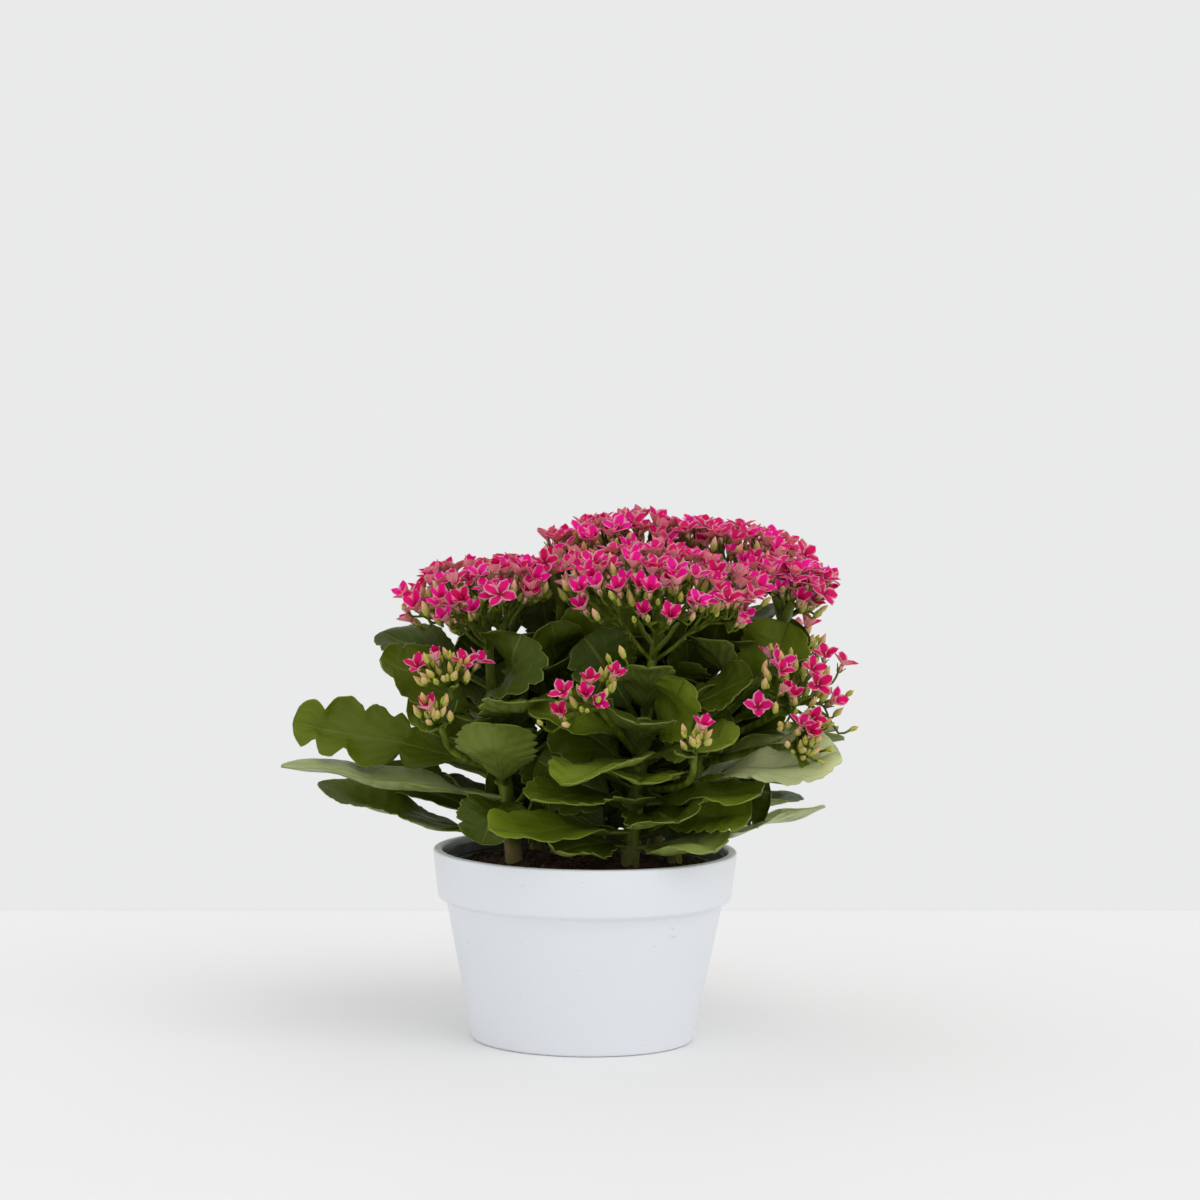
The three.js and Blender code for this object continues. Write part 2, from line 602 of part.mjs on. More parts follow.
// A closed bud: a three-sided spindle whose long foot is its stalk.
function bud(spot, axis, size, root) {
  const place = flowerFrame(spot, axis);
  const ring = [0, 1, 2].map((j) => place(BUD_RADIUS, (2 * Math.PI * j) / 3, -BUD_TAPER * size));
  const index = [0, 1, 2].flatMap((j) => {
    const [here, next] = [1 + j, 1 + ((j + 1) % 3)];
    return [0, next, here, 4, here, next];
  });
  return solidOf(meshFrom([root, ...ring, spot], index));
}

// One flower head: florets and buds rooted in its core, in one body.
function flowerHead(head, seed) {
  const total = head.florets + head.buds;
  const [reach, range] = head.spread[0] > LARGE_HEAD ? LARGE_REACH : SMALL_REACH;
  let made = core(head);
  for (let k = 0; k < total; k++) {
    const { spot, outward, root } = placeOnDome(head, k, total, seed);
    const axis = outward.multiplyScalar(DOME_PULL).addScaledVector(UP, LIGHT_PULL).normalize();
    const top = spot.addScaledVector(axis, reach + range * chance(seed + 3, k));
    // The buds are spread evenly through the count.
    const isBud = Math.floor(((k + 1) * head.buds) / total) > Math.floor((k * head.buds) / total);
    const spin = (Math.PI / 2) * chance(seed + 9, k);
    const flower = isBud
      ? bud(top, axis, 0.9 + 0.3 * chance(seed + 5, k), root)
      : floret(top, axis, spin, 0.9 + 0.2 * chance(seed + 11, k), root);
    made = made.add(flower);
  }
  return made;
}

// Green shoots
// Where a head's stalk ends, just under the head.
function underHead({ seat, lean }) {
  return at(seat).addScaledVector(at(lean).normalize(), -CORE_SINK - CORE_CLEAR);
}

function shootPath({ foot: [x, y], path, head }) {
  return [at([x, y, FOOT_Z]), at([x, y, COLLAR_Z]), ...path.map(at), underHead(heads[head])];
}

function pointAtHeight(shoot, z) {
  const path = shootPath(shoot);
  const i = path.findIndex((p, k) => k > 0 && z <= p.z);
  const [low, high] = [path[i - 1], path[i]];
  return low.clone().lerp(high, (z - low.z) / (high.z - low.z));
}

// The stalk of a head that leaves its shoot at a fork.
function sideStalk(head, shoot) {
  const start = pointAtHeight(shoot, head.fork);
  const end = underHead(head);
  const bendShare = 0.35;
  const back = -bendShare * start.distanceTo(end);
  const bend = end.clone().addScaledVector(at(head.lean).normalize(), back);
  const [from, to] = [PEDUNCLE_RADIUS, PEDUNCLE_TIP_RADIUS];
  return stalk([start, bend, end], from, to, PEDUNCLE_SIDES, PEDUNCLE_STEPS);
}

function mainStalk(shoot) {
  const [foot, collar, ...rest] = shootPath(shoot);
  const straight = stalk([foot, collar], shoot.thick, shoot.thick, STALK_SIDES, 1);
  const start = collar.clone().addScaledVector(UP, -STALK_SPLICE);
  const radius = 0.95 * shoot.thick;
  return straight.add(stalk([start, ...rest], radius, PEDUNCLE_RADIUS, STALK_SIDES, STALK_STEPS));
}

function leafyShoot(name, shoot) {
  const leaves = shoot.leaves.map((entry) => leaf(pointAtHeight(shoot, entry.at), entry));
  const sides = Object.values(heads)
    .filter((head) => head.fork && head.shoot === name)
    .map((head) => sideStalk(head, shoot));
  return [...leaves, ...sides].reduce((made, piece) => made.add(piece), mainStalk(shoot));
}

// The whole plant
const plant = new THREE.Group();

function put(name, solid, color, roughness) {
  const material = new THREE.MeshStandardMaterial({ color, roughness, metalness: 0 });
  const mesh = new THREE.Mesh(geometryOf(solid), material);
  mesh.name = name;
  plant.add(mesh);
}

put("outer_pot", outerPot(), 0xe9ebf0, 0.35);
put("nursery_pot", nurseryPot(), 0x2b2c2b, 0.5);
put("soil", soil(), 0x2c1a10, 0.95);
for (const [name, shoot] of Object.entries(shoots)) put(name, leafyShoot(name, shoot), 0x46601f, 0.4);
Object.entries(heads).forEach(([name, head], i) => put(name, flowerHead(head, i + 1), 0xd81b7c, 0.5));

export default plant;
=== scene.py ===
# A flaming katy in a nursery pot that stands in a white outer pot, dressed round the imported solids.
# Sizes are in millimetres and become metres as each mesh is made.
import json
import math
import random
import bmesh
import bpy
import numpy as np
from mathutils import Matrix, Vector, noise

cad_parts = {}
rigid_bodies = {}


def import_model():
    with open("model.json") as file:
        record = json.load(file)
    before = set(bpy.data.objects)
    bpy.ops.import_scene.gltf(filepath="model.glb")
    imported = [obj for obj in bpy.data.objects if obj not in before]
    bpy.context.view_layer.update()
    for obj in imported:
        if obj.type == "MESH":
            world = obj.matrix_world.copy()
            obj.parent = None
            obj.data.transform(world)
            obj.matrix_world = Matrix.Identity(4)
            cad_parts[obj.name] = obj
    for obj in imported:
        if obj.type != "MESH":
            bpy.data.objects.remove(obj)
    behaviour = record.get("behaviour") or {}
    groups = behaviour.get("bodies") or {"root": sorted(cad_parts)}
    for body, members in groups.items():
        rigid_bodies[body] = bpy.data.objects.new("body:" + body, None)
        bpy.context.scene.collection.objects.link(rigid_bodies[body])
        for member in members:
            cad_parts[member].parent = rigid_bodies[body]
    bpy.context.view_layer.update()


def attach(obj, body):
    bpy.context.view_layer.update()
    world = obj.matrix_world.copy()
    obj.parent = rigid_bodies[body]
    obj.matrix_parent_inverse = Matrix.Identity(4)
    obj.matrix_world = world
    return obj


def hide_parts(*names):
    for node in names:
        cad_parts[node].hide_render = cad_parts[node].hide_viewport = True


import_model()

# The outer pot: a moulded cover of white plastic with a tapered body and a taller band under its
# rim. The mould left its edges softly rounded and its skin very slightly uneven.
MM = 0.001
POT_HEIGHT = 94.0
POT_RIM_RADIUS = 75.0
POT_LIP_WIDTH = 4.5
POT_BAND_FOOT = (72.3, 70.2)
POT_BODY_TOP = (68.3, 69.0)
POT_BASE_RADIUS = 54.6
POT_WALL = 2.0
POT_FLOOR = 3.0
POT_BAND_FLOOR = 2
POT_DRAFT = 0.5
POT_ROUNDING = 1.5
POT_SIDES = 160
WHITE_PLASTIC = (0.83, 0.855, 0.90, 1)
DUSTY_WHITE = (0.80, 0.82, 0.855, 1)
SCUFF_GREY = (0.42, 0.42, 0.43, 1)


class Wire:
    """A socket in a node tree. Sums and products of wires add Math nodes; node() adds any other."""

    def __init__(self, tree, socket=None):
        self.tree, self.socket = tree, socket

    def node(self, kind, settings=None, inputs=None, output=0):
        made = self.tree.nodes.new(kind)
        for key, value in (settings or {}).items():
            setattr(made, key, value)
        for key, value in (inputs or {}).items():
            if isinstance(value, Wire):
                self.tree.links.new(value.socket, made.inputs[key])
            else:
                made.inputs[key].default_value = value
        return Wire(self.tree, made.outputs[output] if len(made.outputs) else None)

    def math(self, operation, first, second=0.0):
        return self.node("ShaderNodeMath", {"operation": operation}, {0: first, 1: second})

    def __add__(self, other):
        return self.math("ADD", self, other)

    def __radd__(self, other):
        return self.math("ADD", other, self)

    def __sub__(self, other):
        return self.math("SUBTRACT", self, other)

    def __rsub__(self, other):
        return self.math("SUBTRACT", other, self)

    def __mul__(self, other):
        return self.math("MULTIPLY", self, other)

    def __rmul__(self, other):
        return self.math("MULTIPLY", other, self)

    def __abs__(self):
        return self.math("ABSOLUTE", self)

    def __pow__(self, other):
        return self.math("POWER", self, other)

    def step(self, low, high):
        """0 below low, 1 above high, and a smooth rise between them."""
        places = {0: self, 1: low, 2: high, 3: 0.0, 4: 1.0}
        return self.node("ShaderNodeMapRange", {"interpolation_type": "SMOOTHSTEP"}, places)

    def mix(self, first, second):
        """The first colour where this wire is 0 and the second where it is 1."""
        return self.node("ShaderNodeMix", {"data_type": "RGBA"}, {0: self, 6: first, 7: second}, 2)

    def grain(self, scale, detail=3.0, stretch=(1, 1, 1)):
        """Noise in the piece's own coordinates, scale times finer than a metre."""
        place = self.node("ShaderNodeTexCoord", output="Object")
        sized = self.node("ShaderNodeMapping", None, {"Vector": place, "Scale": stretch})
        return self.node(
            "ShaderNodeTexNoise", None, {"Vector": sized, "Scale": scale, "Detail": detail}
        )

    def mark(self, name):
        """A value that the piece's mesh carries at its points."""
        return self.node("ShaderNodeAttribute", {"attribute_name": name}, None, "Fac")

    def kept(self, name, kind="FLOAT"):
        """The same in a Geometry Nodes tree, which has to be told the value's kind."""
        settings, named = {"data_type": kind}, {"Name": name}
        return self.node("GeometryNodeInputNamedAttribute", settings, named, "Attribute")


def finish_of(name, paint):
    """A material whose colour, roughness, relief and fixed values paint(pen) returns."""
    finish = bpy.data.materials.new(name)
    finish.use_nodes = True
    tree = finish.node_tree
    shader = tree.nodes["Principled BSDF"]
    colour, roughness, (height, depth), fixed = paint(Wire(tree))
    tree.links.new(colour.socket, shader.inputs["Base Color"])
    tree.links.new(roughness.socket, shader.inputs["Roughness"])
    relief = height.node("ShaderNodeBump", None, {"Distance": depth * MM, "Height": height})
    tree.links.new(relief.socket, shader.inputs["Normal"])
    for key, value in fixed.items():
        if isinstance(value, Wire):
            tree.links.new(value.socket, shader.inputs[key])
        else:
            shader.inputs[key].default_value = value
    return finish


def placed(name, data):
    """An object of this mesh, light or camera, put into the scene."""
    made = bpy.data.objects.new(name, data)
    bpy.context.collection.objects.link(made)
    return made


def mark_points(mesh, marks, kind="FLOAT"):
    """Gives the mesh's points values that the trees and materials read by name."""
    for key, values in marks.items():
        mesh.attributes.new(key, kind, "POINT").data.foreach_set("value", values)


def piece_from(name, points, faces, marks=None, finish=None):
    """A smooth piece from points in millimetres, with its faces turned outwards."""
    mesh = bpy.data.meshes.new(name)
    mesh.from_pydata((np.asarray(points) * MM).tolist(), [], faces)
    mark_points(mesh, marks or {})
    work = bmesh.new()
    work.from_mesh(mesh)
    bmesh.ops.recalc_face_normals(work, faces=work.faces)
    work.to_mesh(mesh)
    work.free()
    mesh.shade_smooth()
    if finish:
        mesh.materials.append(finish)
    return placed(name, mesh)


def rounded(profile, radius, steps=4):
    """A profile with its corners rounded. Its first and last points, on the axis, stay."""
    corners = [np.array(p, float) for p in profile]
    made = [corners[0]]
    for before, corner, after in zip(corners, corners[1:], corners[2:]):
        ins, outs = before - corner, after - corner
        reach = min(radius, 0.45 * np.linalg.norm(ins), 0.45 * np.linalg.norm(outs))
        start = corner + ins / np.linalg.norm(ins) * reach
        end = corner + outs / np.linalg.norm(outs) * reach
        for t in np.linspace(0, 1, steps + 1):
            made.append((1 - t) ** 2 * start + 2 * t * (1 - t) * corner + t * t * end)
    return made + [corners[-1]]


def turned(name, profile, sides, finish):
    """A closed round piece from a profile that starts and ends on the axis."""
    points, faces = [(0, 0, profile[0][1])], []
    for r, z in profile[1:-1]:
        for j in range(sides):
            turn = 2 * math.pi * j / sides
            points.append((r * math.cos(turn), r * math.sin(turn), z))
    last = len(points)
    points.append((0, 0, profile[-1][1]))
    for j in range(sides):
        k = (j + 1) % sides
        faces.append((0, 1 + j, 1 + k))
        faces.append((last, last - sides + k, last - sides + j))
        for i in range(len(profile) - 3):
            a, b = 1 + i * sides + j, 1 + i * sides + k
            faces.append((a, b, b + sides, a + sides))
    return piece_from(name, points, faces, finish=finish)


def paint_white_plastic(pen):
    cloud = pen.grain(9.0).step(0.35, 0.75)
    scuff = pen.grain(150.0, 3.0, (1, 1, 7)).step(0.70, 0.76)
    colour = (0.5 * cloud).mix(WHITE_PLASTIC, DUSTY_WHITE)
    colour = (0.5 * scuff).mix(colour, SCUFF_GREY)
    return colour, 0.33 + 0.3 * scuff, (pen.grain(140.0, 2.0), 0.05), {"IOR": 1.47}


white_plastic = finish_of("white plastic", paint_white_plastic)
lip = POT_RIM_RADIUS - POT_LIP_WIDTH
pot_profile = [
    (0, 0),
    (POT_BASE_RADIUS, 0),
    POT_BODY_TOP,
    POT_BAND_FOOT,
    (POT_RIM_RADIUS, POT_HEIGHT),
    (lip, POT_HEIGHT),
    (lip - POT_DRAFT, POT_BAND_FOOT[1] + POT_BAND_FLOOR),
    (POT_BODY_TOP[0] - POT_WALL, POT_BODY_TOP[1] - POT_DRAFT),
    (POT_BASE_RADIUS - POT_WALL, POT_FLOOR),
    (0, POT_FLOOR),
]
pot_outline = rounded(pot_profile, POT_ROUNDING)
outer_pot = turned("outer_pot_moulding", pot_outline, POT_SIDES, white_plastic)
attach(outer_pot, "root")
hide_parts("outer_pot")

# The nursery pot: a thin black pot pressed from sheet plastic, with a turned-out band at its rim
# and round drain holes. It stands on the outer pot's floor, and a film of potting dust dulls it.
LINER_FOOT = 3.35
LINER_TOP = 91.0
LINER_LEDGE = 86.5
LINER_RIM_RADIUS = 69.7
LINER_LEDGE_RADIUS = 65.2
LINER_BASE_RADIUS = 50.5
LINER_WALL = 1.2
LINER_DRAFT = 0.4
LINER_ROUNDING = 0.6
LINER_SIDES = 120
DRAIN_RADIUS = 4.0
DRAIN_RING_RADIUS = 34.0
DRAIN_DEPTH = 9
DRAIN_SIDES = 24
BLACK_PLASTIC = (0.022, 0.023, 0.022, 1)
DUSTY_BLACK = (0.075, 0.07, 0.06, 1)


def paint_black_plastic(pen):
    dust = pen.grain(70.0, 6.0).step(0.4, 0.75)
    return dust.mix(BLACK_PLASTIC, DUSTY_BLACK), 0.42 + 0.25 * dust, (pen.grain(300.0), 0.06), {}


def boolean_out(piece, tool):
    """Cuts the tool out of the piece and removes the tool."""
    cut = piece.modifiers.new("cut", "BOOLEAN")
    cut.object, cut.operation, cut.solver = tool, "DIFFERENCE", "EXACT"
    settle(piece)
    bpy.data.objects.remove(tool)


def settle(piece):
    """Works the piece's modifiers into its mesh."""
    view = bpy.context.evaluated_depsgraph_get()
    made = bpy.data.meshes.new_from_object(
        piece.evaluated_get(view), preserve_all_data_layers=True, depsgraph=view
    )
    before, piece.data = piece.data, made
    piece.modifiers.clear()
    bpy.data.meshes.remove(before)
    made.name = piece.name


black_plastic = finish_of("black plastic", paint_black_plastic)
liner_profile = [
    (0, LINER_FOOT),
    (LINER_BASE_RADIUS, LINER_FOOT),
    (LINER_LEDGE_RADIUS, LINER_LEDGE - LINER_WALL),
    (LINER_RIM_RADIUS - LINER_DRAFT, LINER_LEDGE - LINER_WALL),
    (LINER_RIM_RADIUS, LINER_TOP),
    (LINER_RIM_RADIUS - LINER_WALL, LINER_TOP),
    (LINER_RIM_RADIUS - LINER_WALL - LINER_DRAFT, LINER_LEDGE),
    (LINER_LEDGE_RADIUS - LINER_WALL, LINER_LEDGE),
    (LINER_BASE_RADIUS - LINER_WALL, LINER_FOOT + LINER_WALL),
    (0, LINER_FOOT + LINER_WALL),
]
liner_outline = rounded(liner_profile, LINER_ROUNDING, 3)
nursery_pot = turned("nursery_pot_shell", liner_outline, LINER_SIDES, black_plastic)
drain_profile = [(0, 0), (DRAIN_RADIUS, 0), (DRAIN_RADIUS, DRAIN_DEPTH), (0, DRAIN_DEPTH)]
for quarter in range(4):
    turn = math.pi / 2 * quarter
    drain = turned("drain", drain_profile, DRAIN_SIDES, black_plastic)
    across, back = DRAIN_RING_RADIUS * math.cos(turn), DRAIN_RING_RADIUS * math.sin(turn)
    drain.data.transform(Matrix.Translation(Vector((across, back, 0)) * MM))
    boolean_out(nursery_pot, drain)
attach(nursery_pot, "root")
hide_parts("nursery_pot")

# The soil: dark brown peat mix, filled loosely and watered often, so that its top is a low mound
# of lumps strewn with crumbs of peat and a few paler bits of bark.
SOIL_FOOT = 4.9
SOIL_EDGE = 85.4
SOIL_MOUND = 4.2
SOIL_LUMP = 1.5
SOIL_GAP = 0.45
SOIL_SIDES = 120
SOIL_RINGS = 36
LUMP_RATES = ((0.06, 1.0), (0.17, 1.6), (0.5, 3.0))
CRUMBS_PER_SQUARE_METRE = 150000.0
CRUMB_RADIUS = 0.85
CRUMB_KINDS = 5
CRUMB_SEED = 4
ANY_TURN = 6.3
PEAT = (0.042, 0.020, 0.011, 1)
DRY_PEAT = (0.115, 0.062, 0.036, 1)
BARK = (0.16, 0.10, 0.055, 1)


def soil_radius(z):
    slope = (LINER_LEDGE_RADIUS - LINER_BASE_RADIUS) / (LINER_LEDGE - LINER_WALL - LINER_FOOT)
    return LINER_BASE_RADIUS + slope * (z - LINER_FOOT) - LINER_WALL - SOIL_GAP


def soil_height(x, y):
    """The soil's top at a place: a mound with lumps of three sizes."""
    share = math.hypot(x, y) / soil_radius(SOIL_EDGE)
    lumps = sum(
        noise.noise(Vector((x * rate, y * rate, rate))) / weight
        for rate, weight in LUMP_RATES
    )
    return SOIL_EDGE + SOIL_MOUND * (1 - share * share) + SOIL_LUMP * lumps


def soil_ring(r, z=None):
    """Points round the soil at radius r, at the height z or else on its top."""
    turns = [2 * math.pi * j / SOIL_SIDES for j in range(SOIL_SIDES)]
    spots = [(r * math.cos(turn), r * math.sin(turn)) for turn in turns]
    return [(x, y, z or soil_height(x, y)) for x, y in spots]


def soil_body():
    edge = soil_radius(SOIL_EDGE)
    points = [(0, 0, SOIL_FOOT), *soil_ring(soil_radius(SOIL_FOOT), SOIL_FOOT)]
    for i in range(SOIL_RINGS):
        points.extend(soil_ring(edge * (1 - i / SOIL_RINGS)))
    last = len(points)
    points.append((0, 0, soil_height(0, 0)))
    faces = []
    for j in range(SOIL_SIDES):
        k = (j + 1) % SOIL_SIDES
        faces.append((0, 1 + k, 1 + j))
        faces.append((last - SOIL_SIDES + j, last - SOIL_SIDES + k, last))
        for i in range(SOIL_RINGS):
            a, b = 1 + i * SOIL_SIDES + j, 1 + i * SOIL_SIDES + k
            faces.append((a, b, b + SOIL_SIDES, a + SOIL_SIDES))
    return piece_from("soil_mound", points, faces, finish=peat)


def paint_peat(pen):
    damp = pen.grain(120.0, 8.0).step(0.35, 0.7)
    bark = pen.mark("bark").step(0.93, 0.95)
    colour = bark.mix(damp.mix(PEAT, DRY_PEAT), BARK)
    return colour, 0.85 + 0.1 * damp, (pen.grain(900.0, 6.0), 0.5), {"Specular IOR Level": 0.25}


def node_tree(name, sockets):
    """A Geometry Nodes tree with these inputs, a pen to draw it with, and its input wires."""
    tree = bpy.data.node_groups.new(name, "GeometryNodeTree")
    made = {}
    for title, kind in {"Geometry": "Geometry", **sockets}.items():
        made[title] = tree.interface.new_socket(
            title, in_out="INPUT", socket_type="NodeSocket" + kind
        )
    tree.interface.new_socket("Geometry", in_out="OUTPUT", socket_type="NodeSocketGeometry")
    pen = Wire(tree)
    given = {title: pen.node("NodeGroupInput", output=title) for title in made}
    return tree, pen, given


def close_tree(pen, geometry, material):
    """Ends a tree: instances made real, and the material set."""
    real = pen.node("GeometryNodeRealizeInstances", None, {"Geometry": geometry})
    done = pen.node("GeometryNodeSetMaterial", None, {"Geometry": real, "Material": material})
    pen.node("NodeGroupOutput", None, {"Geometry": done})


def grow(piece, tree, values):
    """Runs a tree on the piece with these inputs and keeps the plain mesh that it makes."""
    work = piece.modifiers.new(tree.name, "NODES")
    work.node_group = tree
    for item in tree.interface.items_tree:
        if item.in_out == "INPUT" and item.name in values:
            work[item.identifier] = values[item.name]
    settle(piece)
    return piece


def copies_at(pen, points, shelf, places):
    """A copy of one of a shelf's shapes at each point, turned and sized as places says."""
    whole = {"Collection": shelf, "Separate Children": True, "Reset Children": True}
    shapes = pen.node("GeometryNodeCollectionInfo", None, whole)
    inputs = {"Points": points, "Instance": shapes, "Pick Instance": True, **places}
    return pen.node("GeometryNodeInstanceOnPoints", None, inputs)


def crumb_tree():
    """Crumbs strewn on the faces that look up, each turned and sized at random."""
    kinds = {"Crumbs": "Collection", "Density": "Float", "Seed": "Int", "Material": "Material"}
    tree, pen, given = node_tree("crumbs on the soil", kinds)
    normal = pen.node("GeometryNodeInputNormal")
    upright = pen.node("ShaderNodeSeparateXYZ", None, {"Vector": normal}, "Z")
    place = pen.node("GeometryNodeInputPosition")
    high = pen.node("ShaderNodeSeparateXYZ", None, {"Vector": place}, "Z")
    top = upright.step(0.3, 0.5) * high.step(0.06, 0.07)
    thick = {"Mesh": given["Geometry"], "Density": given["Density"] * top, "Seed": given["Seed"]}
    spots = pen.node("GeometryNodeDistributePointsOnFaces", None, thick, "Points")

    def drawn(seed):
        settings, ends = {"data_type": "FLOAT"}, {2: 0.0, 3: 1.0, "Seed": seed}
        return pen.node("FunctionNodeRandomValue", settings, ends, 1)

    turn = pen.node("ShaderNodeCombineXYZ", None, {n: ANY_TURN * drawn(n + 1) for n in range(3)})
    spots = pen.node(
        "GeometryNodeStoreNamedAttribute",
        {"data_type": "FLOAT", "domain": "POINT"},
        {"Geometry": spots, "Name": "bark", "Value": drawn(8)},
    )
    size = 0.55 + 1.5 * drawn(9) ** 4.0
    strewn = copies_at(pen, spots, given["Crumbs"], {"Rotation": turn, "Scale": size})
    both = tree.nodes.new("GeometryNodeJoinGeometry")
    tree.links.new(given["Geometry"].socket, both.inputs[0])
    tree.links.new(strewn.socket, both.inputs[0])
    close_tree(pen, Wire(tree, both.outputs[0]), given["Material"])
    return tree


def shelf_of(name, pieces):
    """A collection of shapes to copy, kept out of the scene."""
    shelf = bpy.data.collections.new(name)
    for piece in pieces:
        bpy.context.collection.objects.unlink(piece)
        shelf.objects.link(piece)
    return shelf


def clear_shelf(shelf):
    for piece in list(shelf.objects):
        bpy.data.objects.remove(piece)
    bpy.data.collections.remove(shelf)


def crumb(n):
    """A crumb of peat about 2 mm across, with 20 uneven faces."""
    work = bmesh.new()
    bmesh.ops.create_icosphere(work, subdivisions=1, radius=CRUMB_RADIUS)
    rows = random.Random(n)
    for corner in work.verts:
        corner.co *= rows.uniform(0.7, 1.25)
        corner.co.z *= 0.7
    points = [tuple(corner.co) for corner in work.verts]
    faces = [tuple(corner.index for corner in face.verts) for face in work.faces]
    work.free()
    return piece_from(f"crumb_{n}", points, faces)


peat = finish_of("peat mix", paint_peat)
soil = soil_body()
crumb_shelf = shelf_of("crumbs", [crumb(n) for n in range(CRUMB_KINDS)])
strewing = {"Density": CRUMBS_PER_SQUARE_METRE, "Seed": CRUMB_SEED, "Material": peat}
grow(soil, crumb_tree(), {"Crumbs": crumb_shelf, **strewing})
clear_shelf(crumb_shelf)
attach(soil, "root")
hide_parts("soil")

# The green stalks: fleshy stems that stand in the soil, woody and tan at the foot, ringed where a
# pair of leaves joins, and drawn out at the top into the bare stalks that carry the flower heads.
FOOT_Z = 64.0
COLLAR_Z = 95.0
PEDUNCLE_RADIUS = 2.0
PEDUNCLE_TIP_RADIUS = 1.6
CORE_SINK = 3.0
CORE_CLEAR = 0.6
LINE_STEPS = 24
STALK_SIDES = 14
STALK_POINTS = 56
SIDE_STALK_POINTS = 26
SIDE_STALK_BEND = 0.35
STALK_FULLNESS = 0.97
KNOT = 0.16
KNOT_HALF_LENGTH = 2.2
WOOD = (0.36, 0.27, 0.12, 1)
STALK_GREEN = (0.055, 0.085, 0.004, 1)
STALK_PALE = (0.16, 0.21, 0.02, 1)


def leaf(at, tip, wide, face, bow, turn=0.0, cup=0.2, petiole=15.0, **looks):
    """A leaf's start, tip, width, facing, bow and turn. Its looks: lobes, cut, blunt and pale, where
    pale is partly its own tone and partly painted light on outer leaves and painted shade on inner
    ones.
    """
    return dict(
        at=at, tip=tip, wide=wide, face=face, bow=bow, turn=turn, cup=cup, petiole=petiole, **looks
    )


def head(shoot, seat, spread, rise, lean, florets, buds, fork=None, along=(1, 0, 0)):
    return dict(
        shoot=shoot, seat=seat, spread=spread, rise=rise, lean=lean,
        florets=florets, buds=buds, fork=fork, along=along,
    )
